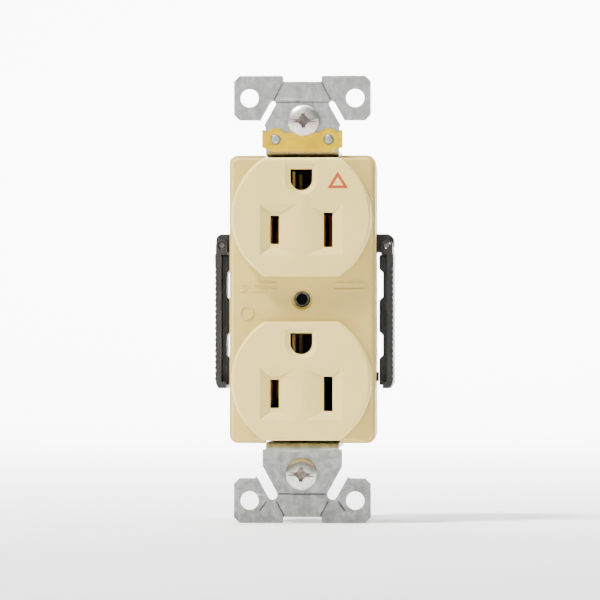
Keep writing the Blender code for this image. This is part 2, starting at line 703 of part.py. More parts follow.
# ---- Mounting strap and grounding clip --------------------------------------------
def ear_corners(end, neck_half_width, neck_length, ear_corner_x):
    """The right half of one end's outline, from the neck to the notch in the ear's end."""
    chamfer = EAR_CHAMFER
    ear_root = EAR_END - EAR_LENGTH
    corners = [
        (neck_half_width, WRAP_Z + STRAP_BEND),
        (neck_half_width, WRAP_Z + neck_length),
        (ear_corner_x, ear_root),
        (EAR_HALF_WIDTH - chamfer, ear_root),
        (EAR_HALF_WIDTH, ear_root + chamfer),
        (EAR_HALF_WIDTH, EAR_END - chamfer),
        (EAR_HALF_WIDTH - chamfer, EAR_END),
        (EAR_NOTCH_HALF_WIDTH, EAR_END),
        (EAR_NOTCH_HALF_WIDTH, EAR_END - EAR_NOTCH_DEPTH),
    ]
    return [(x, end * z) for x, z in corners]


def make_mounting_strap():
    """A sheet bent round the body: its side profile, kept only inside its front outline."""
    face = -STRAP_THICKNESS
    outer = WRAP_Z + STRAP_THICKNESS
    back = WRAP_BACK + STRAP_THICKNESS
    inside = STRAP_BEND - STRAP_THICKNESS
    leg = EAR_END + REACH
    profile = rounded(
        [
            (face, leg),
            (face, WRAP_Z, STRAP_BEND),
            (WRAP_BACK, WRAP_Z, inside),
            (WRAP_BACK, -WRAP_Z, inside),
            (face, -WRAP_Z, STRAP_BEND),
            (face, -leg),
            (0, -leg),
            (0, -outer, inside),
            (back, -outer, STRAP_BEND),
            (back, outer, STRAP_BEND),
            (0, outer, inside),
            (0, leg),
        ]
    )
    reach = EAR_HALF_WIDTH + REACH
    strap = plate("mounting_strap", profile, "YZ", -reach, reach, PARTS, STEEL)
    top_neck = (TOP_NECK_HALF_WIDTH, TOP_NECK_LENGTH, TOP_EAR_CORNER_X)
    bottom_neck = (BOTTOM_NECK_HALF_WIDTH, BOTTOM_NECK_LENGTH, BOTTOM_EAR_CORNER_X)
    bend_end = WRAP_Z + STRAP_BEND
    right = ear_corners(-1, *bottom_neck)[::-1]
    right += [(WRAP_HALF_WIDTH, -bend_end), (WRAP_HALF_WIDTH, bend_end)]
    right += ear_corners(1, *top_neck)
    outline = right + [(-x, z) for x, z in reversed(right)]
    keep_common(strap, plate("strap_outline", outline, "XZ", face - REACH, back + REACH))
    ends = (
        ("top", 1, TOP_SLOT_INNER, TOP_SLOT_OUTER, TOP_SLOT_RADIUS),
        ("bottom", -1, BOTTOM_SLOT_INNER, BOTTOM_SLOT_OUTER, BOTTOM_SLOT_RADIUS),
    )
    for name, end, slot_inner, slot_outer, slot_radius in ends:
        for side in (-1, 1):
            place = (side * EAR_HOLE_X, 0, end * (EAR_END - EAR_HOLE_INSET))
            cut(strap, rod(f"{name}_ear_hole_{side}", "Y", place, face - REACH, REACH, EAR_HOLE_RADIUS))
            slot = capsule(
                (side * slot_inner[0], end * (EAR_END - slot_inner[1])),
                (side * slot_outer[0], end * (EAR_END - slot_outer[1])),
                slot_radius,
            )
            cut(strap, plate(f"{name}_slot_{side}", slot, "XZ", face - REACH, REACH))
        half = MOUNT_HOLE_HALF_SLOT
        height = end * MOUNT_SCREW_Z + max(0, end) * UPPER_SCREW_SHIFT[1]
        slot = capsule((-half, height), (half, height), MOUNT_SCREW_RADIUS + FIT)
        cut(strap, plate(name + "_screw_slot", slot, "XZ", face - REACH, REACH))
    stud_z = WRAP_Z + STUD_BEYOND_WRAP
    for side in (-1, 1):
        centre = (side * STUD_X, 0, stud_z)
        join(strap, rod(f"stud_{side}", "Y", centre, face + LAP, face - STUD_HEIGHT, STUD_RADIUS))
    for x, z in assembly_screws():
        hole = rod(
            f"strap_hole_{z:.3f}",
            "Y",
            (x, 0, z),
            WRAP_BACK - REACH,
            back + REACH,
            ASSEMBLY_SCREW_RADIUS + SLIDE_FIT,
        )
        cut(strap, hole)
    return strap


def make_grounding_clip():
    """A spring plate on the strap's front that hooks round both its edges and presses on the screw."""
    front = -STRAP_THICKNESS - CLIP_GAP - CLIP_THICKNESS
    stud_z = WRAP_Z + STUD_BEYOND_WRAP
    bottom = WRAP_Z + CLIP_BOTTOM
    side_bottom = WRAP_Z + CLIP_SIDE_BOTTOM
    side_top = WRAP_Z + CLIP_SIDE_TOP
    lobe = arc((STUD_X, stud_z), CLIP_LOBE_RADIUS, math.radians(35), math.radians(110), 6)
    right = [
        (STUD_X + CLIP_THICKNESS, bottom),
        (CLIP_HALF_WIDTH, side_bottom),
        (CLIP_HALF_WIDTH, side_top),
        *lobe,
    ]
    outline = right + [(-x, z) for x, z in reversed(right)]
    clip = plate("grounding_clip", outline, "XZ", front, front + CLIP_THICKNESS, PARTS, BRASS)
    back = CLIP_GAP + CLIP_THICKNESS
    for side in (-1, 1):
        outside = side * CLIP_HALF_WIDTH
        inside = side * (CLIP_HALF_WIDTH - CLIP_THICKNESS)
        wall = box(f"clip_wall_{side}", (inside, front + LAP, side_bottom), (outside, back, side_top))
        hook_inner = side * (TOP_NECK_HALF_WIDTH - STRAP_THICKNESS)
        hook_low = (hook_inner, CLIP_GAP, side_bottom)
        hook_high = (outside - side * LAP, back, side_top)
        join(clip, wall, box(f"clip_hook_{side}", hook_low, hook_high))
        centre = (side * STUD_X, 0, stud_z)
        cut(clip, rod(f"clip_stud_hole_{side}", "Y", centre, front - REACH, 0, STUD_RADIUS + SLIDE_FIT))
    screw = (UPPER_SCREW_SHIFT[0], 0, MOUNT_SCREW_Z + UPPER_SCREW_SHIFT[1])
    return cut(clip, rod("clip_screw_hole", "Y", screw, front - REACH, 0, CLIP_SCREW_HOLE))


# ---- Contacts ---------------------------------------------------------------------
def contact_outline(centre_x):
    """A pair of spring leaves in plan: wide lips in front, a pinch, and a root at the bar."""
    right = [
        (CONTACT_ROOT + CONTACT_THICKNESS, BAR_FRONT + LAP),
        (CONTACT_PINCH + CONTACT_THICKNESS, CONTACT_PINCH_Y),
        (CONTACT_LIP + CONTACT_THICKNESS, CONTACT_FRONT),
        (CONTACT_LIP, CONTACT_FRONT),
        (CONTACT_PINCH, CONTACT_PINCH_Y),
        (CONTACT_ROOT, BAR_FRONT - CONTACT_THICKNESS),
    ]
    outline = right + [(-x, y) for x, y in reversed(right)]
    return [(centre_x + x, y) for x, y in outline]


def make_contact_strip(name, side, slot_length, material):
    """A bar behind both contacts, a terminal tab beside it, and a contact for each outlet."""
    slot_z = FACE_Z - BLADES_BELOW_FACE
    low_slot_z = -FACE_Z - BLADES_BELOW_FACE
    tab_low = min(TERMINAL_HEIGHTS) - CLAMP_HALF_HEIGHT
    tab_high = max(TERMINAL_HEIGHTS) + CLAMP_HALF_HEIGHT
    corners = [
        (BAR_INNER, low_slot_z - slot_length / 2),
        (BAR_OUTER, low_slot_z - slot_length / 2),
        (BAR_OUTER, tab_low),
        (TAB_OUTER, tab_low),
        (TAB_OUTER, tab_high),
        (BAR_OUTER, tab_high),
        (BAR_OUTER, slot_z + slot_length / 2),
        (BAR_INNER, slot_z + slot_length / 2),
    ]
    outline = [(side * x, z) for x, z in corners]
    strip = plate(name, outline, "XZ", BAR_FRONT, BAR_BACK, PARTS, material)
    tab = box(
        name + "_tab",
        (side * TAB_INNER, TAB_FRONT, tab_low),
        (side * TAB_OUTER, BAR_FRONT + LAP, tab_high),
    )
    join(strip, tab)
    for z in (slot_z, low_slot_z):
        leaves = plate(
            f"{name}_leaves_{z:.4f}",
            contact_outline(side * BLADE_X),
            "XY",
            z - slot_length / 2 + LAP,
            z + slot_length / 2 - LAP,
        )
        join(strip, leaves)
    for height in TERMINAL_HEIGHTS:
        place = (0, TERMINAL_Y, height)
        hole = rod(
            f"{name}_hole_{height:.4f}",
            "X",
            place,
            side * (TAB_INNER - REACH),
            side * (TAB_OUTER + REACH),
            TERMINAL_SCREW_RADIUS + SLIDE_FIT,
        )
        cut(strip, hole)
    return strip


def ground_contact_heights(face_z):
    pin_z = face_z + PIN_ABOVE_FACE
    return pin_z - PIN_HOLE_RADIUS, pin_z + PIN_FLAT_ABOVE


def ground_outline(margin):
    """The ground bar with its branch to the terminal, grown by a margin."""
    low = ground_contact_heights(-FACE_Z)[0] - margin
    high = ground_contact_heights(FACE_Z)[1] + margin
    half = GROUND_BAR_HALF_WIDTH + margin
    branch_z = GROUND_TERMINAL_Z - CLAMP_HALF_HEIGHT + GROUND_BRANCH_HALF_WIDTH
    branch_low = branch_z - GROUND_BRANCH_HALF_WIDTH - margin
    branch_high = branch_z + GROUND_BRANCH_HALF_WIDTH + margin
    reach = TAB_OUTER + margin
    return [
        (-half, low),
        (half, low),
        (half, branch_low),
        (reach, branch_low),
        (reach, branch_high),
        (half, branch_high),
        (half, high),
        (-half, high),
    ]


def ground_leaf_outline():
    """The bent leaf that presses on the ground pin, in plan."""
    tip = GROUND_LEAF_TIP
    root = GROUND_BAR_HALF_WIDTH
    t = CONTACT_THICKNESS
    return [
        (GROUND_LEAF_X - t, GROUND_LEAF_FRONT),
        (tip, GROUND_LEAF_TIP_Y),
        (root - t, GROUND_BAR_FRONT + LAP),
        (root, GROUND_BAR_FRONT + LAP),
        (tip + t, GROUND_LEAF_TIP_Y),
        (GROUND_LEAF_X, GROUND_LEAF_FRONT),
    ]


def make_ground_strip():
    strip = plate(
        "ground_contact_strip", ground_outline(0), "XZ", GROUND_BAR_FRONT, GROUND_BAR_BACK, PARTS, BRASS
    )
    for face_z in (FACE_Z, -FACE_Z):
        low, high = ground_contact_heights(face_z)
        name = f"ground_leaf_{face_z:.4f}"
        join(strip, plate(name, ground_leaf_outline(), "XY", low + LAP, high - LAP))
        back_leaf = box(
            name + "_back",
            (-GROUND_BAR_HALF_WIDTH, GROUND_LEAF_FRONT, low + LAP),
            (-GROUND_BAR_HALF_WIDTH + CONTACT_THICKNESS, GROUND_BAR_FRONT + LAP, high - LAP),
        )
        join(strip, back_leaf)
    tab = box(
        "ground_tab",
        (TAB_INNER, TAB_FRONT, GROUND_TERMINAL_Z - CLAMP_HALF_HEIGHT),
        (TAB_OUTER, GROUND_BAR_FRONT + LAP, GROUND_TERMINAL_Z + CLAMP_HALF_HEIGHT),
    )
    join(strip, tab)
    hole = rod(
        "ground_tab_hole",
        "X",
        (0, TERMINAL_Y, GROUND_TERMINAL_Z),
        TAB_INNER - REACH,
        TAB_OUTER + REACH,
        TERMINAL_SCREW_RADIUS + SLIDE_FIT,
    )
    return cut(strip, hole)


def make_insulator():
    outline = ground_outline(INSULATOR_MARGIN)
    return plate("back_insulator", outline, "XZ", INSULATOR_FRONT + FIT, INSULATOR_BACK, PARTS, FIBRE)


# ---- Terminals --------------------------------------------------------------------
def make_terminal(prefix, suffix, side, height, screw_material):
    """A clamp plate and the screw that draws it onto the contact strip's tab."""
    origin = (side * CLAMP_OUTER, TERMINAL_Y, height)
    plate_name = f"{prefix}_clamp_plate{suffix}"
    clamp = box(
        plate_name,
        (side * CLAMP_INNER, TERMINAL_Y - CLAMP_HALF_DEPTH, height - CLAMP_HALF_HEIGHT),
        (side * CLAMP_OUTER, TERMINAL_Y + CLAMP_HALF_DEPTH, height + CLAMP_HALF_HEIGHT),
        PARTS,
        BRASS,
    )
    hole = rod(
        plate_name + "_hole",
        "X",
        origin,
        side * (CLAMP_INNER - REACH),
        side * (CLAMP_OUTER + REACH),
        TERMINAL_SCREW_RADIUS + SLIDE_FIT,
    )
    cut(clamp, hole)
    set_origin(clamp, origin)
    name = f"{prefix}_screw{suffix}"
    screw = rod(
        name,
        "X",
        origin,
        side * HEAD_INNER,
        side * HEAD_OUTER,
        TERMINAL_HEAD_RADIUS,
        PARTS,
        screw_material,
    )
    shank = rod(
        name + "_shank", "X", origin, side * SHANK_TIP, side * (HEAD_INNER + LAP), TERMINAL_SCREW_RADIUS
    )
    join(screw, shank)
    across = TERMINAL_HEAD_RADIUS + REACH
    low = (side * (HEAD_OUTER - SLOT_DEPTH), TERMINAL_Y - across, height - SLOT_WIDTH / 2)
    high = (side * (HEAD_OUTER + REACH), TERMINAL_Y + across, height + SLOT_WIDTH / 2)
    cut(screw, box(name + "_slot", low, high))
    set_origin(screw, origin)


# ---- Screws along Y ---------------------------------------------------------------
def slotted_screw(name, place, head_back, head_radius, head_height, shank_radius, tip, facing, material):
    """A screw along Y. Facing is -1 for a head towards the front and 1 for one towards the back."""
    head_face = head_back + facing * head_height
    screw = rod(
        name,
        "Y",
        place,
        head_back,
        head_face,
        head_radius,
        PARTS,
        material,
        end_radius=head_radius - head_height / 2,
    )
    join(screw, rod(name + "_shank", "Y", place, head_back + facing * LAP, tip, shank_radius))
    slot = box(
        name + "_slot",
        (place[0] - head_radius - REACH, head_face - facing * SLOT_DEPTH / 2, place[2] - SLOT_WIDTH / 2),
        (place[0] + head_radius + REACH, head_face + facing * REACH, place[2] + SLOT_WIDTH / 2),
    )
    cut(screw, slot)
    set_origin(screw, (place[0], head_back, place[2]))


def make_mounting_screws():
    clip_front = -STRAP_THICKNESS - CLIP_GAP - CLIP_THICKNESS
    ends = (
        ("upper", 1, UPPER_SCREW_SHIFT, clip_front - SLIDE_FIT),
        ("lower", -1, LOWER_SCREW_SHIFT, -STRAP_THICKNESS - SLIDE_FIT),
    )
    for name, end, (shift_x, shift_z), seat in ends:
        place = (shift_x, 0, end * MOUNT_SCREW_Z + shift_z)
        slotted_screw(
            f"mounting_screw_{name}",
            place,
            seat,
            MOUNT_HEAD_RADIUS,
            MOUNT_HEAD_HEIGHT,
            MOUNT_SCREW_RADIUS,
            MOUNT_SCREW_LENGTH,
            -1,
            NICKEL,
        )
        washer = rod(
            f"retaining_washer_{name}",
            "Y",
            place,
            SLIDE_FIT,
            SLIDE_FIT + WASHER_THICKNESS,
            WASHER_RADIUS,
            PARTS,
            FIBRE,
        )
        hole_radius = MOUNT_SCREW_RADIUS + SLIDE_FIT
        back = WASHER_THICKNESS + REACH
        cut(washer, rod(f"washer_hole_{name}", "Y", place, -REACH, back, hole_radius))


def make_assembly_screws():
    for name, (x, z) in zip(("upper", "lower"), assembly_screws()):
        slotted_screw(
            f"assembly_screw_{name}",
            (x, 0, z),
            WRAP_BACK + STRAP_THICKNESS + SLIDE_FIT,
            ASSEMBLY_HEAD_RADIUS,
            ASSEMBLY_HEAD_HEIGHT,
            ASSEMBLY_SCREW_RADIUS,
            FIT,
            1,
            STEEL,
        )


def make_bushing():
    """The threaded insert that the wall plate's screw goes into."""
    centre = (0, 0, 0)
    front, back = BUSHING_FRONT, BUSHING_BACK
    bushing = rod("centre_bushing", "Y", centre, front, back, BUSHING_RADIUS, PARTS, STEEL)
    collar_back = back - FIT
    join(bushing, rod("bushing_collar", "Y", centre, BUSHING_COLLAR_FRONT, collar_back, BUSHING_COLLAR))
    return cut(bushing, rod("bushing_bore", "Y", centre, front - REACH, back + REACH, BUSHING_BORE))


# ---- Terminal guards --------------------------------------------------------------
def make_guard(name, side):
    """A hinged side cover: a wall beside the terminals, ribs towards them, and knuckles at its top."""
    tip = GUARD_BOTTOM + GUARD_WALL
    wall_corners = [
        (GUARD_WALL_X, GUARD_WALL_TOP),
        (GUARD_OUTER_X, GUARD_WALL_TOP),
        (GUARD_OUTER_X, tip, GUARD_WALL / 2),
        (GUARD_OUTER_X - GUARD_WALL / 2, GUARD_BOTTOM, GUARD_WALL / 4),
        (GUARD_FLANGE_X, GUARD_BOTTOM),
        (GUARD_FLANGE_X, tip),
        (GUARD_WALL_X, tip),
    ]
    wall = rounded([(side * corner[0], *corner[1:]) for corner in wall_corners])
    guard = plate(name, wall, "XZ", GUARD_FRONT, GUARD_BACK, PARTS, BLACK)
    rib = [(GUARD_WALL_X + LAP, GUARD_WALL_TOP - LAP), (GUARD_WALL_X + LAP, tip)]
    rib.append((GUARD_FLANGE_X, tip))
    for high, low in reversed(GUARD_BLOCKS):
        rib += [
            (GUARD_FLANGE_X, low - GUARD_BLOCK_SLOPE * (low > tip)),
            (GUARD_BLOCK_X, low),
            (GUARD_BLOCK_X, min(high, GUARD_WALL_TOP - LAP)),
            (GUARD_FLANGE_X, min(high + GUARD_BLOCK_SLOPE, GUARD_WALL_TOP - LAP)),
        ]
    points = list(dict.fromkeys((side * x, z) for x, z in rib))
    join(guard, plate(name + "_rib", points, "XZ", GUARD_RIB_FRONT, GUARD_RIB_BACK))
    gaps = [GUARD_FRONT]
    for front in HINGE_EAR_FRONTS:
        gaps += [front - FIT, front + HINGE_EAR_THICKNESS + FIT]
    gaps.append(GUARD_BACK)
    pivot = (side * GUARD_PIVOT_X, 0, GUARD_PIVOT_Z)
    for start, end in zip(gaps[::2], gaps[1::2]):
        knuckle = [
            (side * x, z) for x, z in arc((GUARD_PIVOT_X, GUARD_PIVOT_Z), GUARD_KNUCKLE, 0, math.pi, 10)
        ]
        knuckle += [
            (side * (GUARD_PIVOT_X - GUARD_KNUCKLE), GUARD_WALL_TOP - LAP),
            (side * (GUARD_PIVOT_X + GUARD_KNUCKLE), GUARD_WALL_TOP - LAP),
        ]
        join(guard, plate(f"{name}_knuckle_{start:.4f}", knuckle, "XZ", start, end))
    pin_hole = GUARD_PIN_RADIUS + SLIDE_FIT
    cut(guard, rod(name + "_hole", "Y", pivot, GUARD_FRONT - REACH, GUARD_BACK + REACH, pin_hole))
    set_origin(guard, pivot)
    rod(
        name.replace("guard", "hinge_pin"),
        "Y",
        pivot,
        GUARD_FRONT + FIT,
        GUARD_BACK - FIT,
        GUARD_PIN_RADIUS,
        PARTS,
        STEEL,
    )


# ---- Assembly ---------------------------------------------------------------------
def make_outlet():
    make_face_cover()
    make_rear_body()
    make_mounting_strap()
    make_grounding_clip()
    make_contact_strip("hot_contact_strip", -1, HOT_SLOT_LENGTH, BRASS)
    make_contact_strip("neutral_contact_strip", 1, NEUTRAL_SLOT_LENGTH, BRASS)
    make_ground_strip()
    make_insulator()
    for prefix, side, material in (("hot", -1, BRASS), ("neutral", 1, NICKEL)):
        for suffix, height in zip(("_upper", "_lower"), TERMINAL_HEIGHTS):
            make_terminal(prefix, suffix, side, height, material)
    make_terminal("ground", "", 1, GROUND_TERMINAL_Z, GREEN)
    make_mounting_screws()
    make_assembly_screws()
    make_bushing()
    make_guard("terminal_guard_left", -1)
    make_guard("terminal_guard_right", 1)


make_outlet()
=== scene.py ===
import json
import math

import bmesh
import bpy
from mathutils import Matrix, Vector


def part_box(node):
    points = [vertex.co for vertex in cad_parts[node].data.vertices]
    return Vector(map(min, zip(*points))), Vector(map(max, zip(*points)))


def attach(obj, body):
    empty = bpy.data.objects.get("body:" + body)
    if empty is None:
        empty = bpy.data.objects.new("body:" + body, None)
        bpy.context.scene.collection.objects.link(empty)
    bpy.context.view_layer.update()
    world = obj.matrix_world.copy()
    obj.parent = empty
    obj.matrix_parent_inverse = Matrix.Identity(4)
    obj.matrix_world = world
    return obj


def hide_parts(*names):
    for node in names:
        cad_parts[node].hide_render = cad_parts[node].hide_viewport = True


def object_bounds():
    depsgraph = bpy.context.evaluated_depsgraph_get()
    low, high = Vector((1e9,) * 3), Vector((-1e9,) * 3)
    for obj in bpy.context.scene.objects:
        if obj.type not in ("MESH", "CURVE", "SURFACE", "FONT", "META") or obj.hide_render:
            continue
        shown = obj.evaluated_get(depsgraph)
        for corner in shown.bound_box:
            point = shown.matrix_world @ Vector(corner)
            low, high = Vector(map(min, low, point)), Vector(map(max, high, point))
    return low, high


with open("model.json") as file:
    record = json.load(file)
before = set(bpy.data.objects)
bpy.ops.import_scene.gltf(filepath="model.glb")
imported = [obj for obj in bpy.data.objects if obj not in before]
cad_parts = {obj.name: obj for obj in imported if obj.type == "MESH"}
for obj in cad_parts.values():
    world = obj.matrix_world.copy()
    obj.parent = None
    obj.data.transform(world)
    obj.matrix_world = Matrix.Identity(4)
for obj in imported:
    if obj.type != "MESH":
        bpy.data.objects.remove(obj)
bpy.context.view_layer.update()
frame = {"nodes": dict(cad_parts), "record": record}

# The visual model of a duplex wall outlet. Sizes are in metres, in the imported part's frame:
# X to the right seen from the front, Y back into the wall, Z up.

MM = 0.001
LAP = 0.1 * MM           # how far joined shapes run into each other
REACH = 1.0 * MM         # how far a cutter runs past what it cuts
CREASE = math.radians(32)
WHITE = (1.0, 1.0, 1.0)

BODY_OF = {node: body for body, nodes in frame["record"]["behaviour"]["bodies"].items() for node in nodes}


# ---- Sizes read from the frame ----
COVER_LOW, COVER_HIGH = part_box("face_cover")
STRAP_LOW, STRAP_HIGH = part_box("mounting_strap")
CLIP_LOW, CLIP_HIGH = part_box("grounding_clip")
UPPER_SCREW_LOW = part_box("mounting_screw_upper")[0]
LOWER_SCREW_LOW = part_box("mounting_screw_lower")[0]
BUSHING_LOW, BUSHING_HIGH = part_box("centre_bushing")

COVER_HALF_WIDTH = COVER_HIGH.x
COVER_HALF_HEIGHT = COVER_HIGH.z
SKIRT_BACK = COVER_HIGH.y
FACE_FRONT = COVER_LOW.y
EAR_HALF_WIDTH = STRAP_HIGH.x
EAR_END = STRAP_HIGH.z
STRAP_BACK = STRAP_HIGH.y

# ---- Face cover ----
FACE_Z = 19.45 * MM
FACE_RADIUS = 16.65 * MM
FACE_HALF_HEIGHT = 14.1 * MM
FACE_EDGE = 0.9 * MM
PLATEAU_FRONT = -3.0 * MM
PLATEAU_HALF_WIDTH = COVER_HALF_WIDTH - 0.7 * MM
PLATEAU_HALF_HEIGHT = COVER_HALF_HEIGHT - 0.7 * MM
PLATEAU_CORNER = 1.4 * MM
PLATEAU_EDGE = 0.55 * MM
# painted shade on the recessed plateau fades in between these depths behind the outlet faces
RECESS_SHADE_START, RECESS_SHADE_FULL = FACE_FRONT + 1.6 * MM, FACE_FRONT + 2.8 * MM
LEDGE_FRONT = -0.5 * MM
LEDGE_CORNER = 2.0 * MM
LEDGE_EDGE = 0.2 * MM
SKIRT_WALL = 1.2 * MM
NOTCH_HALF_WIDTH = 9.0 * MM
NOTCH_DEPTH = 0.6 * MM
SHELL_CEILING = -1.2 * MM
POCKET_CEILING = -4.4 * MM
FACE_WALL = 2.5 * MM
BLADE_X = 6.35 * MM
BLADE_SLOT_WIDTH = 2.1 * MM
BLADE_SLOTS = ((-BLADE_X, 6.75 * MM), (BLADE_X, 8.2 * MM))
SLOT_CORNER = 0.2 * MM
SLOT_ROUNDING = 0.12 * MM
BLADES_BELOW_FACE = 3.05 * MM
PIN_ABOVE_FACE = 8.95 * MM
PIN_HOLE_RADIUS = 2.62 * MM
PIN_FLAT_ABOVE = 2.4 * MM
VALLEY_DEPTH = 1.2 * MM
VALLEY_HALF_WIDTH = 9.8 * MM
VALLEY_TOP, VALLEY_BOTTOM = 3.05 * MM, -9.2 * MM
VALLEY_TOP_SLOPE, VALLEY_BOTTOM_SLOPE = 2.05 * MM, 1.85 * MM
VALLEY_RIDGE = 0.9 * MM
COUNTERSINK_RADIUS = 2.6 * MM
COUNTERSINK_DEPTH = 1.3 * MM
CENTRE_HOLE_RADIUS = 1.9 * MM
MARK_HEIGHT = 0.25 * MM
MARK_EDGE = 0.05 * MM
MARK_RING = (-13.2 * MM, -3.2 * MM)
MARK_RING_RADII = (1.7 * MM, 1.4 * MM)
MARK_BAR_RADIUS = 0.26 * MM
MARK_BARS = (
    # start x, end x, z, in millimetres
    (-14.6, -12.6, 3.7), (-11.4, -10.2, 3.7), (-9.0, -6.0, 3.7),
    (-14.6, -13.4, 2.2), (-12.2, -8.6, 2.2), (-7.4, -6.0, 2.2),
    (7.8, 9.6, 3.7), (10.8, 12.0, 3.7), (13.2, 14.8, 3.7),
    (7.8, 14.8, 2.2),
)
LEAD_IN_ABOVE, LEAD_IN_RIM, LEAD_IN_FLOOR = 1.55 * MM, 1.25 * MM, 0.25 * MM
LEAD_IN_DEPTH = 0.45 * MM
TRIANGLE_BOTTOM, TRIANGLE_TOP = 26.2 * MM, 30.2 * MM
TRIANGLE_X, TRIANGLE_HALF_WIDTH = 8.7 * MM, 2.5 * MM
TRIANGLE_LINE = 0.68 * MM
INLAY_DEPTH = 0.08 * MM
INK_BELOW = 0.01 * MM
COVER_CREASE = math.radians(16)

# ---- Strap ----
STRAP_THICKNESS = 1.27 * MM
STRAP_BEND = 1.6 * MM
WRAP_Z = 34.15 * MM
WRAP_HALF_WIDTH = 8.7 * MM
EAR_CHAMFER = 1.3 * MM
EAR_NOTCH_HALF_WIDTH = 4.6 * MM
EAR_NOTCH_DEPTH = 1.4 * MM
EAR_ROOT = EAR_END - 10.6 * MM
EAR_HOLE_RADIUS = 2.2 * MM
EAR_HOLE_X = 12.6 * MM
EAR_HOLE_Z = EAR_END - 5.3 * MM
EAR_ROUNDING, EAR_ROOT_ROUNDING, NECK_ROUNDING = 0.4 * MM, 0.3 * MM, 0.5 * MM
STRAP_ROUNDING = 0.14 * MM
STRAP_CREASE = math.radians(14)
ASSEMBLY_HOLE_RADIUS = 1.5 * MM
TOP_NECK = (8.77 * MM, WRAP_Z + 6.9 * MM, 10.3 * MM)
BOTTOM_NECK = (9.46 * MM, WRAP_Z + 5.4 * MM, 11.2 * MM)
TOP_SLOT = ((7.05 * MM, EAR_END - 6.7 * MM), (10.4 * MM, EAR_END - 12.7 * MM), 0.7 * MM)
BOTTOM_SLOT = ((7.15 * MM, EAR_END - 6.7 * MM), (10.8 * MM, EAR_END - 13.4 * MM), 1.2 * MM)
SCREW_SLOT_HALF = 0.8 * MM
SCREW_SLOT_RADIUS = 1.95 * MM
STUD = (6.3 * MM, WRAP_Z + 3.9 * MM)
STUD_RADIUS = 1.1 * MM
STUD_FRONT = STRAP_LOW.y
STUD_CROWN = ((0, 0.5), (0.1 * MM, 0.82), (0.35 * MM, 1.0))       # depth, share of the radius
GROOVE_WIDTH = 0.42 * MM
GROOVE_DEPTH = 0.26 * MM
LEVEL_SCORES = (((-6.3, 46.9), (6.2, 46.9)), ((-5.7, -46.4), (5.7, -46.4)))     # ends as x, z in millimetres
SIDE_SCORES = (((6.7, 47.5), (4.6, 51.7)), ((6.2, -48.1), (4.3, -51.7)), ((8.5, -48.2), (10.2, -50.4)))

# painted shade on the strap: darker towards its lower end and in the bends behind its front
PAINTED_SHADE_HEIGHTS = (-EAR_END, -WRAP_Z + 8 * MM)
PAINTED_SHADE_BEND_FRONT, PAINTED_SHADE_BEND_BACK = (-1.0 * MM, 0.3 * MM), (3.0 * MM, 7.0 * MM)

# ---- Clip ----
CLIP_THICKNESS = 0.45 * MM
CLIP_SIDE_BOTTOM = WRAP_Z + 2.0 * MM
CLIP_SIDE_TOP = WRAP_Z + 6.2 * MM
CLIP_FOOT = 0.45 * MM           # from a stud's axis out to the lower corner
CLIP_LOBE_RADIUS = 2.7 * MM
CLIP_LOBE_ENDS = (math.radians(35), math.radians(145))
CLIP_SCREW_X = 0.35 * MM
CLIP_SCREW_HOLE = 2.3 * MM
CLIP_STUD_GAP = 0.15 * MM
CLIP_HOOK_X = 7.5 * MM
CLIP_ROUNDING = 0.16 * MM
CLIP_CREASE = math.radians(20)

# ---- Guards ----
GRIP_START = 1.6 * MM
GRIP_PITCH = 1.35 * MM
GRIP_NOTCHES = 21
GRIP_LENGTH = 2.2 * MM
GRIP_DEPTH = 0.22 * MM
GUARD_ROUNDING = 0.14 * MM

# ---- Rounding of the pieces that keep the CAD's own shape ----
BODY_ROUNDING = 0.18 * MM
CONTACT_ROUNDING = 0.06 * MM
INSULATOR_ROUNDING = 0.05 * MM
WASHER_ROUNDING = 0.1 * MM
PIN_ROUNDING = 0.08 * MM

# ---- Screws ----
THREAD_PITCH = 0.79375 * MM
MOUNT_THREAD = (1.65 * MM, 0.3 * MM)            # outer radius, depth
TERMINAL_THREAD = (2.08 * MM, 0.35 * MM)
THREAD_CREASE = math.radians(60)
MOUNT_HEAD_RADIUS = 3.83 * MM
MOUNT_HEAD_HEIGHT = 2.1 * MM
MOUNT_CROWN = 1.35 * MM
HEAD_CREASE = math.radians(40)
HEAD_BREAK = 0.1 * MM
MOUNT_SLOT = (0.42 * MM, 0.8 * MM)              # half width, depth
MOUNT_CROSS = ((2.1 * MM, 0.5 * MM, -REACH), (1.2 * MM, 0.36 * MM, 1.6 * MM))   # reach, half width, depth
MOUNT_SQUARE = (1.2 * MM, 1.65 * MM)            # half width, depth
UPPER_DRIVE_TURN, LOWER_DRIVE_TURN = math.radians(-2), math.radians(3)
# how far the painted shade reaches in a mounting screw's drive
RECESS_RADIUS = 2.8 * MM
RECESS_BELOW_DOME = 0.25 * MM
TERMINAL_HEAD = 2.45 * MM
TERMINAL_BREAK = 0.15 * MM
TERMINAL_CROWN = ((0.9 * MM, 1.0), (0.35 * MM, 0.93), (0.08 * MM, 0.8), (0, 0.6))    # as STUD_CROWN
TERMINAL_ROUNDING = 0.08 * MM
DRIVE_HALF, DRIVE_CROSS, DRIVE_DEPTH = 0.5 * MM, 1.9 * MM, 1.1 * MM
SERRATIONS = (-4, -3, 3, 4)
SERRATION_PITCH, SERRATION_HALF, SERRATION_DEPTH, SERRATION_FOOT = 1.0 * MM, 0.35 * MM, 0.22 * MM, 0.3 * MM

# ---- Bushing ----
BUSHING_RADIUS, BUSHING_BORE, BUSHING_COLLAR = 1.75 * MM, 1.3 * MM, 2.4 * MM
BUSHING_BREAK, BUSHING_COLLAR_BREAK = 0.12 * MM, 0.15 * MM
BUSHING_COLLAR_Y = 1.5 * MM
BUSHING_COLLAR_BACK, BUSHING_TAIL = 0.4 * MM, 0.3 * MM
BUSHING_THREAD_END = 0.05 * MM
BUSHING_STEPS, BUSHING_ROWS_PER_TURN = 40, 8


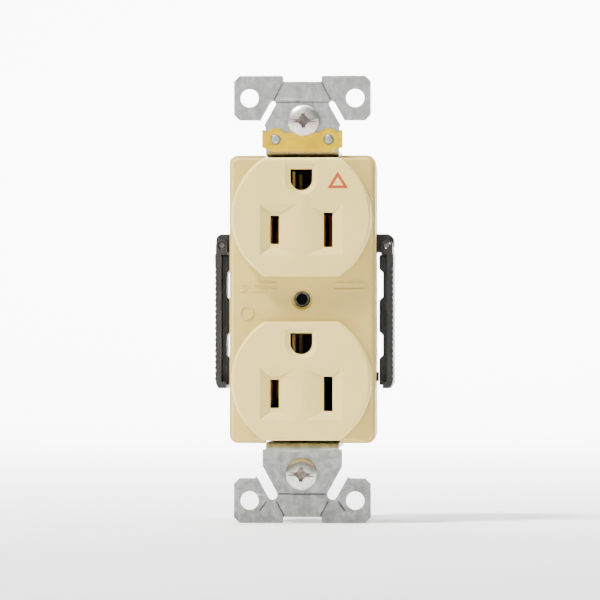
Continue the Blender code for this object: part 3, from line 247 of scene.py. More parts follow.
# ---- Stage, light and camera, in metres and degrees ----
FLOOR_GAP = 0.05 * MM
SWEEP_FRONT, SWEEP_BACK, SWEEP_TOP, SWEEP_HALF_WIDTH, SWEEP_BEND = -3.0, 1.6, 3.0, 4.0, 0.6
CAMERA_LENS = 253.3
CAMERA_AZIMUTH, CAMERA_ELEVATION = 3.0, -0.7
CAMERA_TARGET = (-0.26 * MM, FACE_FRONT, -0.26 * MM)
ROOM_DARK = (0.16, 0.16, 0.165)
ROOM_LIGHT = (0.9, 0.92, 0.95)
ROOM_STRENGTH = 0.16
ROOM_LOW, ROOM_HIGH = -0.6, 0.8         # heights of a view ray where the room is darkest and lightest
LIGHTS = (
    # name, place, target, size, watts, spread in degrees
    ("key", (-0.5, -0.36, 0.9), (0, 0, 0), 0.22, 33.0, 180),
    ("card", (-0.1, -1.8, 0.2), (0, 0, 0), 1.1, 6.0, 180),
    ("sweep_light", (0, 0.7, 1.7), (0, 1.7, 0.1), 1.6, 140.0, 100),
)


# ---- Mesh helpers ----
PLANES = {
    "XZ": Matrix(((1, 0, 0, 0), (0, 0, -1, 0), (0, 1, 0, 0), (0, 0, 0, 1))),
    "YZ": Matrix(((0, 0, 1, 0), (1, 0, 0, 0), (0, 1, 0, 0), (0, 0, 0, 1))),
}


def add_object(name, mesh):
    obj = bpy.data.objects.new(name, mesh)
    bpy.context.scene.collection.objects.link(obj)
    return obj


def drop(*objects):
    for obj in objects:
        mesh = obj.data
        bpy.data.objects.remove(obj)
        bpy.data.meshes.remove(mesh)


def bake(obj):
    """Gives the object its evaluated mesh and clears its modifiers."""
    graph = bpy.context.evaluated_depsgraph_get()
    mesh = bpy.data.meshes.new_from_object(obj.evaluated_get(graph))
    old = obj.data
    obj.modifiers.clear()
    obj.data = mesh
    mesh.name = obj.name
    bpy.data.meshes.remove(old)
    return obj


def from_bmesh(name, bm):
    bmesh.ops.recalc_face_normals(bm, faces=bm.faces)
    mesh = bpy.data.meshes.new(name)
    bm.to_mesh(mesh)
    bm.free()
    return add_object(name, mesh)


def box(name, low, high):
    low, high = Vector(map(min, low, high)), Vector(map(max, low, high))
    bm = bmesh.new()
    bmesh.ops.create_cube(bm, size=1.0)
    bmesh.ops.scale(bm, vec=high - low, verts=bm.verts)
    bmesh.ops.translate(bm, vec=(low + high) / 2, verts=bm.verts)
    return from_bmesh(name, bm)


def hull(name, points):
    bm = bmesh.new()
    for point in points:
        bm.verts.new(point)
    bmesh.ops.convex_hull(bm, input=bm.verts)
    return from_bmesh(name, bm)


def plate(name, outlines, plane, low, high, edge=0.0, edge_steps=3):
    """Flat outlines as one solid between two depths. Outlines inside another are holes; edges are rounded."""
    curve = bpy.data.curves.new(name, "CURVE")
    curve.dimensions = "2D"
    curve.fill_mode = "BOTH"
    curve.extrude = abs(high - low) / 2 - edge
    curve.bevel_depth = edge
    curve.bevel_resolution = edge_steps
    curve.offset = -edge
    for outline in outlines:
        spline = curve.splines.new("POLY")
        spline.points.add(len(outline) - 1)
        for point, (u, v) in zip(spline.points, outline):
            point.co = (u, v, 0, 1)
        spline.use_cyclic_u = True
    guide = bpy.data.objects.new(name + "_outline", curve)
    bpy.context.scene.collection.objects.link(guide)
    graph = bpy.context.evaluated_depsgraph_get()
    mesh = bpy.data.meshes.new_from_object(guide.evaluated_get(graph))
    bpy.data.objects.remove(guide)
    bpy.data.curves.remove(curve)
    mesh.transform(PLANES[plane])
    normal = PLANES[plane].to_3x3() @ Vector((0, 0, 1))
    mesh.transform(Matrix.Translation(Vector(abs(part) for part in normal) * (low + high) / 2))
    bm = bmesh.new()
    bm.from_mesh(mesh)
    bmesh.ops.remove_doubles(bm, verts=bm.verts, dist=1e-6)
    bpy.data.meshes.remove(mesh)
    return from_bmesh(name, bm)


def placed(name, bm, place, axis):
    """Turns a shape made along Z onto an axis, and moves it to its place."""
    turn = Matrix.Rotation(-math.pi / 2, 4, "X") if axis == "Y" else Matrix.Rotation(math.pi / 2, 4, "Y")
    bmesh.ops.transform(bm, matrix=Matrix.Translation(place) @ turn, verts=bm.verts)
    return from_bmesh(name, bm)


def turned(name, profile, place, axis="Y", steps=64):
    """A solid of revolution. The profile is (distance along the axis, radius), closed by its end points."""
    bm = bmesh.new()
    rings = []
    for along, radius in profile:
        if radius < 1e-7:
            rings.append([bm.verts.new((0, 0, along))])
            continue
        ring = []
        for step in range(steps):
            angle = 2 * math.pi * step / steps
            ring.append(bm.verts.new((radius * math.cos(angle), radius * math.sin(angle), along)))
        rings.append(ring)
    for low, high in zip(rings, rings[1:]):
        for step in range(steps):
            after = (step + 1) % steps
            places = ((low, step), (low, after), (high, after), (high, step))
            bm.faces.new(dict.fromkeys(ring[place % len(ring)] for ring, place in places))
    for ring in (rings[0], rings[-1]):
        if len(ring) > 1:
            bm.faces.new(ring)
    return placed(name, bm, place, axis)


def rod(name, place, start, end, radius, axis="Y", steps=48):
    return turned(name, [(start, radius), (end, radius)], place, axis, steps)


def thread_rod(name, place, start, end, thread, axis="Y", steps=28, rows_per_turn=8):
    """A threaded shank from start to end along an axis, with a lead-in cone at its tip."""
    outer, depth = thread
    rows = int(abs(end - start) / THREAD_PITCH * rows_per_turn)
    bm = bmesh.new()
    rings = []
    for row in range(rows + 1):
        along = start + (end - start) * row / rows
        to_tip = abs(end - along)
        ring = []
        for step in range(steps):
            angle = 2 * math.pi * step / steps
            phase = (abs(along - start) / THREAD_PITCH - step / steps) % 1.0
            radius = outer - depth * abs(2 * phase - 1) ** 0.8
            radius = min(radius, outer - depth + to_tip * 0.6)
            ring.append(bm.verts.new((radius * math.cos(angle), radius * math.sin(angle), along)))
        rings.append(ring)
    for low, high in zip(rings, rings[1:]):
        for step in range(steps):
            after = (step + 1) % steps
            bm.faces.new((low[step], low[after], high[after], high[step]))
    for ring in (rings[0], rings[-1]):
        bm.faces.new(ring)
    return placed(name, bm, place, axis)


def boolean(target, operation, tools):
    for tool in tools:
        modifier = target.modifiers.new("boolean", "BOOLEAN")
        modifier.operation = operation
        modifier.solver = "EXACT"
        modifier.object = tool
        bake(target)
        drop(tool)
    return target


def cut(target, *tools):
    return boolean(target, "DIFFERENCE", tools)


def join(target, *tools):
    return boolean(target, "UNION", tools)


def bevel_edges(obj, width, segments=2, angle=32):
    bm = bmesh.new()
    bm.from_mesh(obj.data)
    bmesh.ops.remove_doubles(bm, verts=bm.verts, dist=2e-6)
    bmesh.ops.dissolve_degenerate(bm, edges=bm.edges, dist=1e-6)
    bmesh.ops.dissolve_limit(bm, angle_limit=math.radians(0.4), verts=bm.verts, edges=bm.edges)
    bm.to_mesh(obj.data)
    bm.free()
    modifier = obj.modifiers.new("rounding", "BEVEL")
    modifier.width = width
    modifier.segments = segments
    modifier.limit_method = "ANGLE"
    modifier.angle_limit = math.radians(angle)
    modifier.miter_outer = "MITER_ARC"
    return bake(obj)


def split_large_faces(obj):
    bm = bmesh.new()
    bm.from_mesh(obj.data)
    bmesh.ops.triangulate(bm, faces=[face for face in bm.faces if len(face.verts) > 4], ngon_method="BEAUTY")
    bm.to_mesh(obj.data)
    bm.free()
    return obj


def soften(obj, width, segments=2, angle=32, crease=CREASE):
    """Rounds the sharp edges of a solid and shades it smooth."""
    return smooth(split_large_faces(bevel_edges(obj, width, segments, angle)), crease)


def smooth(obj, angle=CREASE):
    obj.data.shade_smooth()
    obj.data.set_sharp_from_angle(angle=angle)
    modifier = obj.modifiers.new("normals", "WEIGHTED_NORMAL")
    modifier.keep_sharp = True
    return bake(obj)


def copy_of(node):
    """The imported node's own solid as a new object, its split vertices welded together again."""
    source = frame["nodes"][node]
    mesh = source.data.copy()
    mesh.materials.clear()
    mesh.transform(source.matrix_world)
    bm = bmesh.new()
    bm.from_mesh(mesh)
    bmesh.ops.remove_doubles(bm, verts=bm.verts, dist=2e-6)
    bpy.data.meshes.remove(mesh)
    return from_bmesh(node + "_shape", bm)


def show(obj, name, node, material, replaces=True):
    """Gives a finished piece its name, material and body, and lets it stand for its node."""
    obj.name = name
    obj.data.materials.clear()
    obj.data.materials.append(material)
    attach(obj, BODY_OF[node])
    if replaces:
        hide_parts(node)
    return obj


# ---- Outlines ----
def arc(centre, radius, start, sweep, steps):
    angles = [start + sweep * step / steps for step in range(steps + 1)]
    return [(centre[0] + radius * math.cos(angle), centre[1] + radius * math.sin(angle)) for angle in angles]


def circle(centre, radius, steps=48):
    return arc(centre, radius, 0, 2 * math.pi, steps)[:-1]


def rounded(corners, steps=8):
    """An outline through corners given as (u, v) or, with a rounding radius, (u, v, radius)."""
    outline = []
    for index, corner in enumerate(corners):
        here = Vector(corner[:2])
        radius = corner[2] if len(corner) > 2 else 0
        if not radius:
            outline.append(tuple(here))
            continue
        back = (Vector(corners[index - 1][:2]) - here).normalized()
        ahead = (Vector(corners[(index + 1) % len(corners)][:2]) - here).normalized()
        half = back.angle(ahead) / 2
        centre = here + (back + ahead).normalized() * radius / math.sin(half)
        first = here + back * radius / math.tan(half) - centre
        last = here + ahead * radius / math.tan(half) - centre
        start = math.atan2(first.y, first.x)
        sweep = math.remainder(math.atan2(last.y, last.x) - start, 2 * math.pi)
        outline += arc(centre, radius, start, sweep, steps)
    return outline


def rectangle(half_u, half_v, radius=0.0, centre=(0, 0), steps=10):
    signs = ((-1, -1), (1, -1), (1, 1), (-1, 1))
    corners = [(centre[0] + u * half_u, centre[1] + v * half_v, radius) for u, v in signs]
    return rounded(corners, steps)


def capsule(start, end, radius, steps=12):
    heading = math.atan2(end[1] - start[1], end[0] - start[0])
    return arc(end, radius, heading - math.pi / 2, math.pi, steps) + arc(
        start, radius, heading + math.pi / 2, math.pi, steps
    )


def mirrored(right):
    """An outline from its right half, given bottom to top."""
    return right + [(-x, z) for x, z in reversed(right)]


# ---- Materials ----
class Look:
    """A Principled material with noise-driven colour, roughness and bump in object space."""

    def __init__(self, name, metallic=0.0, **fixed):
        self.material = bpy.data.materials.new(name)
        self.material.use_nodes = True
        self.nodes = self.material.node_tree.nodes
        self.links = self.material.node_tree.links
        self.shader = self.nodes["Principled BSDF"]
        self.shader.inputs["Metallic"].default_value = metallic
        for socket, value in fixed.items():
            self.shader.inputs[socket.replace("_", " ")].default_value = value
        self.place = self.nodes.new("ShaderNodeTexCoord").outputs["Object"]
        self.bumped = None

    def stretched(self, scale, turn=(0, 0, 0)):
        node = self.nodes.new("ShaderNodeMapping")
        node.inputs["Scale"].default_value = scale
        node.inputs["Rotation"].default_value = turn
        self.links.new(self.place, node.inputs["Vector"])
        return node.outputs["Vector"]

    def noise(self, scale, detail=3.0, roughness=0.55, vector=None, distortion=0.0):
        node = self.nodes.new("ShaderNodeTexNoise")
        node.inputs["Scale"].default_value = scale
        node.inputs["Detail"].default_value = detail
        node.inputs["Roughness"].default_value = roughness
        node.inputs["Distortion"].default_value = distortion
        self.links.new(vector or self.place, node.inputs["Vector"])
        return node.outputs["Fac"]

    def cells(self, scale):
        node = self.nodes.new("ShaderNodeTexVoronoi")
        node.inputs["Scale"].default_value = scale
        self.links.new(self.place, node.inputs["Vector"])
        return node.outputs["Distance"]

    def along(self, axis, start, end):
        """Rises from 0 to 1 between two places along an axis."""
        split = self.nodes.new("ShaderNodeSeparateXYZ")
        self.links.new(self.place, split.inputs["Vector"])
        node = self.nodes.new("ShaderNodeMapRange")
        node.inputs["From Min"].default_value = start
        node.inputs["From Max"].default_value = end
        self.links.new(split.outputs[axis], node.inputs["Value"])
        return node.outputs["Result"]

    def ramp(self, value, *stops):
        """Stops are (position, colour) pairs; a colour may be one number."""
        node = self.nodes.new("ShaderNodeValToRGB")
        elements = node.color_ramp.elements
        while len(elements) < len(stops):
            elements.new(0.5)
        for element, (position, colour) in zip(elements, stops):
            element.position = position
            element.color = (*colour, 1) if isinstance(colour, tuple) else (colour, colour, colour, 1)
        self.links.new(value, node.inputs["Fac"])
        return node.outputs["Color"]

    def mix(self, factor, first, second, blend="MIX"):
        node = self.nodes.new("ShaderNodeMix")
        node.data_type = "RGBA"
        node.blend_type = blend
        sockets = (node.inputs["Factor"], node.inputs[6], node.inputs[7])
        for socket, value in zip(sockets, (factor, first, second)):
            if isinstance(value, bpy.types.NodeSocket):
                self.links.new(value, socket)
            elif socket.type == "RGBA":
                socket.default_value = (*value, 1)
            else:
                socket.default_value = value
        return node.outputs[2]

    def bump(self, height, distance, strength=1.0):
        node = self.nodes.new("ShaderNodeBump")
        node.inputs["Distance"].default_value = distance
        node.inputs["Strength"].default_value = strength
        self.links.new(height, node.inputs["Height"])
        if self.bumped:
            self.links.new(self.bumped, node.inputs["Normal"])
        self.bumped = node.outputs["Normal"]

    def done(self, colour, roughness):
        self.links.new(colour, self.shader.inputs["Base Color"])
        self.links.new(roughness, self.shader.inputs["Roughness"])
        if self.bumped:
            self.links.new(self.bumped, self.shader.inputs["Normal"])
        return self.material


def moulded_plastic(name, colour, shade, roughness, grain, recess_shade=None):
    """Moulded nylon: slow colour drift from the flow, a little dust, and a fine grain.

    Given a tint for the recess, what lies behind the outlet faces is darkened by it as painted shade, and
    takes a coarser grain of its own.
    """
    look = Look(name, IOR=1.5, Specular_IOR_Level=0.5)
    drift = look.noise(90, 4.0)
    dust = look.noise(2600, 2.0, 0.7)
    base = look.mix(look.ramp(drift, (0.35, 0.0), (0.7, 1.0)), colour, shade)
    base = look.mix(look.ramp(dust, (0.66, 0.0), (0.8, 0.35)), base, tuple(part * 0.72 for part in colour))
    # painted shade: the plateau recessed behind the outlet faces is darkened; the coarser grain bump is real
    # mould texture
    if recess_shade:
        base = look.mix(look.along("Y", RECESS_SHADE_START, RECESS_SHADE_FULL), base, recess_shade, "MULTIPLY")
        look.bump(look.noise(2200, 3.0), 0.02 * MM, grain * 1.6)
    look.bump(look.noise(5200, 2.0), 0.012 * MM, grain)
    look.bump(look.noise(420, 3.0), 0.03 * MM, grain * 0.5)
    smudge = look.noise(260, 5.0, 0.6, distortion=0.4)
    rough = look.ramp(smudge, (0.3, roughness - 0.06), (0.72, roughness + 0.1))
    return look.done(base, rough)


def plated_steel(name, colour, dark, roughness, blotch=520, scratch=1.0, painted_shade=None):
    """Zinc or nickel plate: cloudy blotches, rolling lines, stray scratches and pin-point specks.

    Given a tint for shade, the plate takes it as painted shade towards its lower end and in the bends behind
    its front.
    """
    look = Look(name, metallic=1.0)
    clouds = look.noise(blotch, 5.0, 0.62, distortion=0.6)
    lines = look.noise(700, 3.0, 0.6, look.stretched((1.0, 1.0, 0.05)))
    scratches = look.noise(900, 2.0, 0.5, look.stretched((0.06, 1.0, 1.0), (0, 0.5, 0)))
    specks = look.cells(1500)
    base = look.mix(look.ramp(clouds, (0.36, 0.0), (0.66, 1.0)), dark, colour)
    streaks = look.ramp(lines, (0.48, 0.0), (0.75, 0.4 * scratch))
    base = look.mix(streaks, base, tuple(part * 0.8 for part in dark))
    base = look.mix(look.ramp(specks, (0.03, 0.5), (0.1, 0.0)), base, tuple(part * 0.5 for part in dark))
    bright = tuple(min(1.0, part * 1.25) for part in colour)
    base = look.mix(look.ramp(scratches, (0.68, 0.0), (0.74, 0.6 * scratch)), base, bright)
    # painted shade: darker towards the lower end and in the bends behind the front
    if painted_shade:
        height = look.along("Z", *PAINTED_SHADE_HEIGHTS)
        base = look.mix(1.0, base, look.mix(height, painted_shade, WHITE), "MULTIPLY")
        bend = look.mix(look.along("Y", *PAINTED_SHADE_BEND_FRONT), WHITE, painted_shade)
        base = look.mix(1.0, base, look.mix(look.along("Y", *PAINTED_SHADE_BEND_BACK), bend, WHITE), "MULTIPLY")
    look.bump(clouds, 0.02 * MM, 0.5)
    look.bump(scratches, 0.01 * MM, 0.35 * scratch)
    rough = look.ramp(clouds, (0.3, roughness + 0.12), (0.7, roughness - 0.06))
    return look.done(base, rough)


def rolled_brass(name, colour, dark, roughness):
    """Rolled brass strip with faint rolling lines and a warm tarnish."""
    look = Look(name, metallic=1.0)
    lines = look.noise(1200, 2.0, 0.5, look.stretched((0.04, 1.0, 1.0)))
    tarnish = look.noise(240, 5.0, 0.6, distortion=0.5)
    base = look.mix(look.ramp(tarnish, (0.4, 0.0), (0.75, 0.85)), colour, dark)
    base = look.mix(look.ramp(lines, (0.45, 0.0), (0.75, 0.3)), base, tuple(part * 0.75 for part in colour))
    look.bump(lines, 0.008 * MM, 0.5)
    look.bump(tarnish, 0.02 * MM, 0.3)
    rough = look.ramp(tarnish, (0.3, roughness - 0.05), (0.75, roughness + 0.15))
    return look.done(base, rough)


def pressed_fibre(name, colour, dark):
    look = Look(name, IOR=1.45)
    strands = look.noise(1800, 4.0, 0.7, look.stretched((1.0, 1.0, 0.2), (0.3, 0.2, 0.4)))
    base = look.mix(look.ramp(strands, (0.35, 0.0), (0.7, 1.0)), colour, dark)
    look.bump(strands, 0.04 * MM, 0.6)
    return look.done(base, look.ramp(strands, (0.3, 0.7), (0.7, 0.9)))


def printed_ink(name, colour):
    look = Look(name, IOR=1.5)
    wear = look.noise(3000, 3.0, 0.6)
    base = look.mix(look.ramp(wear, (0.4, 0.0), (0.8, 0.5)), colour, tuple(part * 0.8 for part in colour))
    look.bump(wear, 0.01 * MM, 0.4)
    return look.done(base, look.ramp(wear, (0.3, 0.45), (0.7, 0.6)))


# painted shade tint for the plateau recessed behind the outlet faces
IVORY_RECESS_SHADE = (0.79, 0.76, 0.66)
IVORY_SHADE = (0.775, 0.595, 0.16)
IVORY = moulded_plastic("ivory_nylon", (0.80, 0.62, 0.175), IVORY_SHADE, 0.42, 0.25, IVORY_RECESS_SHADE)
BLACK = moulded_plastic("black_nylon", (0.014, 0.014, 0.013), (0.010, 0.010, 0.009), 0.4, 0.6)
# painted shade tint for the strap's lower end and its bends
ZINC_PAINTED_SHADE = (0.56, 0.57, 0.56)
ZINC = plated_steel("galvanised_steel", (0.51, 0.52, 0.495), (0.34, 0.345, 0.33), 0.42, 520, 1.6, ZINC_PAINTED_SHADE)
NICKEL = plated_steel("nickel_plate", (0.80, 0.765, 0.71), (0.60, 0.57, 0.51), 0.38, 900, 0.5)
BRASS = rolled_brass("brass", (0.92, 0.60, 0.006), (0.80, 0.48, 0.004), 0.34)
CONTACT_BRASS = rolled_brass("contact_brass", (0.52, 0.17, 0.06), (0.38, 0.11, 0.04), 0.4)
GROUND_BRASS = rolled_brass("ground_brass", (0.62, 0.42, 0.13), (0.46, 0.29, 0.08), 0.4)
BLACKENED = plated_steel("blackened_steel", (0.17, 0.165, 0.155), (0.09, 0.088, 0.082), 0.45)
# painted shade for the faces down in a mounting screw's drive
RECESS_PAINTED_SHADE = plated_steel("screw_recess_painted_shade", (0.36, 0.31, 0.27), (0.18, 0.15, 0.13), 0.5, 900, 0.3)
GREEN = plated_steel("green_plate", (0.05, 0.30, 0.10), (0.03, 0.2, 0.07), 0.36, 900, 0.4)
FIBRE = pressed_fibre("red_fibre", (0.26, 0.06, 0.035), (0.18, 0.045, 0.03))
GREY_FIBRE = pressed_fibre("grey_fibre", (0.20, 0.19, 0.17), (0.13, 0.125, 0.11))
ORANGE = printed_ink("orange_ink", (0.42, 0.052, 0.0))


# ---- Face cover ----
def face_outline(inset=0.0, centre_z=0.0, steps=48):
    radius = FACE_RADIUS - inset
    half = math.asin((FACE_HALF_HEIGHT - inset) / radius)
    return arc((0, centre_z), radius, -half, 2 * half, steps) + arc(
        (0, centre_z), radius, math.pi - half, 2 * half, steps
    )


def pin_hole_outline(centre_z, grow=0.0):
    pin_z = centre_z + PIN_ABOVE_FACE
    radius = PIN_HOLE_RADIUS + grow
    top = pin_z + PIN_FLAT_ABOVE + grow
    return [(radius, top), (-radius, top)] + arc((0, pin_z), radius, math.pi, math.pi, 32)


def valley(side, centre_z):
    above = FACE_FRONT - REACH
    top, bottom = centre_z + VALLEY_TOP, centre_z + VALLEY_BOTTOM
    floor = FACE_FRONT + VALLEY_DEPTH
    points = []
    for x in (VALLEY_RIDGE, VALLEY_HALF_WIDTH):
        for z in (top, bottom):
            points += [(side * x, above, z), (side * x, FACE_FRONT, z)]
    for x in (BLADE_X - BLADE_SLOT_WIDTH / 2, BLADE_X + BLADE_SLOT_WIDTH / 2):
        points += [
            (side * x, floor, top - VALLEY_TOP_SLOPE),
            (side * x, floor, bottom + VALLEY_BOTTOM_SLOPE),
        ]
    return hull("valley", points)


def lead_in(centre_z):
    """The shallow funnel round the ground pin's hole."""
    points = []
    for depth, grow in ((-REACH, LEAD_IN_ABOVE), (0, LEAD_IN_RIM), (LEAD_IN_DEPTH, LEAD_IN_FLOOR)):
        points += [(x, FACE_FRONT + depth, z) for x, z in pin_hole_outline(centre_z, grow)]
    return hull("lead_in", points)


def cut_outlet(cover, z):
    cut(cover, plate("pocket", [face_outline(FACE_WALL, z)], "XZ", POCKET_CEILING, REACH))
    cut(cover, valley(-1, z), valley(1, z))
    for x, length in BLADE_SLOTS:
        outline = rectangle(BLADE_SLOT_WIDTH / 2, length / 2, SLOT_CORNER, (x, z - BLADES_BELOW_FACE), 4)
        cut(cover, plate("slot", [outline], "XZ", FACE_FRONT - REACH, REACH))
    cut(cover, lead_in(z))
    cut(cover, plate("pin", [pin_hole_outline(z)], "XZ", FACE_FRONT - REACH, REACH))


def raised_marks():
    """Low plain bars and a ring, where an outlet carries its moulded markings."""
    marks = [circle(MARK_RING, radius, 40) for radius in MARK_RING_RADII]
    for start, end, height in MARK_BARS:
        marks.append(capsule((start * MM, height * MM), (end * MM, height * MM), MARK_BAR_RADIUS, 6))
    return marks


def make_face_cover():
    skirt = rectangle(COVER_HALF_WIDTH, COVER_HALF_HEIGHT, LEDGE_CORNER)
    cover = plate("cover", [skirt], "XZ", LEDGE_FRONT, SKIRT_BACK, LEDGE_EDGE)
    plateau = rectangle(PLATEAU_HALF_WIDTH, PLATEAU_HALF_HEIGHT, PLATEAU_CORNER)
    join(cover, plate("plateau", [plateau], "XZ", PLATEAU_FRONT, LEDGE_FRONT + REACH, PLATEAU_EDGE, 5))
    for z in (FACE_Z, -FACE_Z):
        outline = face_outline(0, z)
        join(cover, plate("face", [outline], "XZ", FACE_FRONT, PLATEAU_FRONT + REACH, FACE_EDGE, 8))
    shell = rectangle(COVER_HALF_WIDTH - SKIRT_WALL, COVER_HALF_HEIGHT - NOTCH_DEPTH - SKIRT_WALL, SKIRT_WALL)
    cut(cover, plate("hollow", [shell], "XZ", SHELL_CEILING, SKIRT_BACK + REACH))
    for end in (-1, 1):
        low = (-NOTCH_HALF_WIDTH, LEDGE_FRONT - REACH, end * (COVER_HALF_HEIGHT - NOTCH_DEPTH))
        high = (NOTCH_HALF_WIDTH, SKIRT_BACK + REACH, end * (COVER_HALF_HEIGHT + REACH))
        cut(cover, box("notch", low, high))
    for z in (FACE_Z, -FACE_Z):
        cut_outlet(cover, z)
    sink = [
        (PLATEAU_FRONT - LAP, COUNTERSINK_RADIUS + LAP),
        (PLATEAU_FRONT + COUNTERSINK_DEPTH, CENTRE_HOLE_RADIUS - LAP),
    ]
    cut(cover, turned("sink", sink, (0, 0, 0)))
    cut(cover, rod("hole", (0, 0, 0), PLATEAU_FRONT - REACH, REACH, CENTRE_HOLE_RADIUS))
    bevel_edges(cover, SLOT_ROUNDING, 3, 40)
    cut(cover, triangle("inlay", FACE_FRONT - REACH, FACE_FRONT + INLAY_DEPTH))
    smooth(split_large_faces(cover), COVER_CREASE)
    show(cover, "cover_moulding", "face_cover", IVORY)
    marks_front = PLATEAU_FRONT - MARK_HEIGHT
    marks = plate("marks", raised_marks(), "XZ", marks_front, PLATEAU_FRONT + LAP, MARK_EDGE, 2)
    show(smooth(marks), "cover_marks", "face_cover", IVORY, False)
    ink = triangle("ink", FACE_FRONT + INK_BELOW, FACE_FRONT + INLAY_DEPTH)
    show(smooth(ink), "ground_triangle", "face_cover", ORANGE, False)


def triangle(name, front, back):
    """The outlined triangle that marks an isolated-ground outlet."""
    low, high, middle, half = TRIANGLE_BOTTOM, TRIANGLE_TOP, TRIANGLE_X, TRIANGLE_HALF_WIDTH
    outer = [(middle - half, low), (middle + half, low), (middle, high)]
    slope = math.atan2(high - low, half)
    shrink = TRIANGLE_LINE / math.tan(slope / 2)
    inner = [
        (middle - half + shrink, low + TRIANGLE_LINE),
        (middle + half - shrink, low + TRIANGLE_LINE),
        (middle, high - TRIANGLE_LINE / math.cos(slope)),
    ]
    return plate(name, [outer, inner], "XZ", front, back)


# ---- Strap ----
def ear_corners(end, neck):
    neck_x, neck_z, corner_x = neck
    half, chamfer = EAR_HALF_WIDTH, EAR_CHAMFER
    corners = [
        (neck_x, WRAP_Z + STRAP_BEND, 0),
        (neck_x, neck_z, NECK_ROUNDING),
        (corner_x, EAR_ROOT, EAR_ROOT_ROUNDING),
        (half - chamfer, EAR_ROOT, EAR_ROUNDING),
        (half, EAR_ROOT + chamfer, EAR_ROUNDING),
        (half, EAR_END - chamfer, EAR_ROUNDING),
        (half - chamfer, EAR_END, EAR_ROUNDING),
        (EAR_NOTCH_HALF_WIDTH, EAR_END, EAR_ROUNDING),
        (EAR_NOTCH_HALF_WIDTH, EAR_END - EAR_NOTCH_DEPTH, EAR_ROOT_ROUNDING),
    ]
    return [(x, end * z, radius) for x, z, radius in corners]


def groove(start, end, face):
    """A wedge that scores a line into the strap's front."""
    start, end = Vector(start), Vector(end)
    side = (end - start).normalized().orthogonal() * GROOVE_WIDTH / 2
    points = []
    for point in (start, end):
        for offset in (-side, side):
            edge = point + 2 * offset
            points.append((edge.x, face - GROOVE_DEPTH, edge.y))
        points.append((point.x, face + GROOVE_DEPTH, point.y))
    return hull("groove", points)


def score_lines():
    """Where the ears are scored so that they snap off, as pairs of (x, z) points."""
    lines = list(LEVEL_SCORES)
    for side in (-1, 1):
        lines += [tuple((side * x, z) for x, z in line) for line in SIDE_SCORES]
    return [tuple((x * MM, z * MM) for x, z in line) for line in lines]


def make_strap():
    face = -STRAP_THICKNESS
    outer = WRAP_Z + STRAP_THICKNESS
    inside = STRAP_BEND - STRAP_THICKNESS
    wrap_back = STRAP_BACK - STRAP_THICKNESS
    leg = EAR_END + REACH
    profile = rounded(
        [
            (face, leg),
            (face, WRAP_Z, STRAP_BEND),
            (wrap_back, WRAP_Z, inside),
            (wrap_back, -WRAP_Z, inside),
            (face, -WRAP_Z, STRAP_BEND),
            (face, -leg),
            (0, -leg),
            (0, -outer, inside),
            (STRAP_BACK, -outer, STRAP_BEND),
            (STRAP_BACK, outer, STRAP_BEND),
            (0, outer, inside),
            (0, leg),
        ],
        10,
    )
    reach = EAR_HALF_WIDTH + REACH
    strap = plate("strap", [profile], "YZ", -reach, reach)
    bend_end = WRAP_Z + STRAP_BEND
    right = ear_corners(-1, BOTTOM_NECK)[::-1]
    right += [(WRAP_HALF_WIDTH, -bend_end, 0), (WRAP_HALF_WIDTH, bend_end, 0)]
    right += ear_corners(1, TOP_NECK)
    corners = right + [(-x, z, radius) for x, z, radius in reversed(right)]
    outline = plate("outline", [rounded(corners, 5)], "XZ", face - REACH, STRAP_BACK + REACH)
    boolean(strap, "INTERSECT", [outline])
    holes = []
    for end, (inner, out, radius) in ((1, TOP_SLOT), (-1, BOTTOM_SLOT)):
        screw_z = (UPPER_SCREW_LOW if end > 0 else LOWER_SCREW_LOW).z + MOUNT_HEAD_RADIUS
        holes.append(capsule((-SCREW_SLOT_HALF, screw_z), (SCREW_SLOT_HALF, screw_z), SCREW_SLOT_RADIUS))
        for side in (-1, 1):
            holes.append(circle((side * EAR_HOLE_X, end * EAR_HOLE_Z), EAR_HOLE_RADIUS))
            holes.append(capsule((side * inner[0], end * inner[1]), (side * out[0], end * out[1]), radius))
    for hole in holes:
        cut(strap, plate("hole", [hole], "XZ", face - REACH, REACH))
    for node in ("assembly_screw_upper", "assembly_screw_lower"):
        low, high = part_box(node)
        centre = (low + high) / 2
        start, end = wrap_back - REACH, STRAP_BACK + REACH
        cut(strap, rod("way", (centre.x, 0, centre.z), start, end, ASSEMBLY_HOLE_RADIUS))
    bevel_edges(strap, STRAP_ROUNDING, 2, 40)
    for start, end in score_lines():
        cut(strap, groove(start, end, face))
    for side in (-1, 1):
        profile = [(STUD_FRONT + depth, STUD_RADIUS * share) for depth, share in STUD_CROWN]
        profile.append((face + LAP, STUD_RADIUS))
        join(strap, turned("stud", profile, (side * STUD[0], 0, STUD[1]), steps=32))
    smooth(split_large_faces(strap), STRAP_CREASE)
    show(strap, "strap_pressing", "mounting_strap", ZINC)


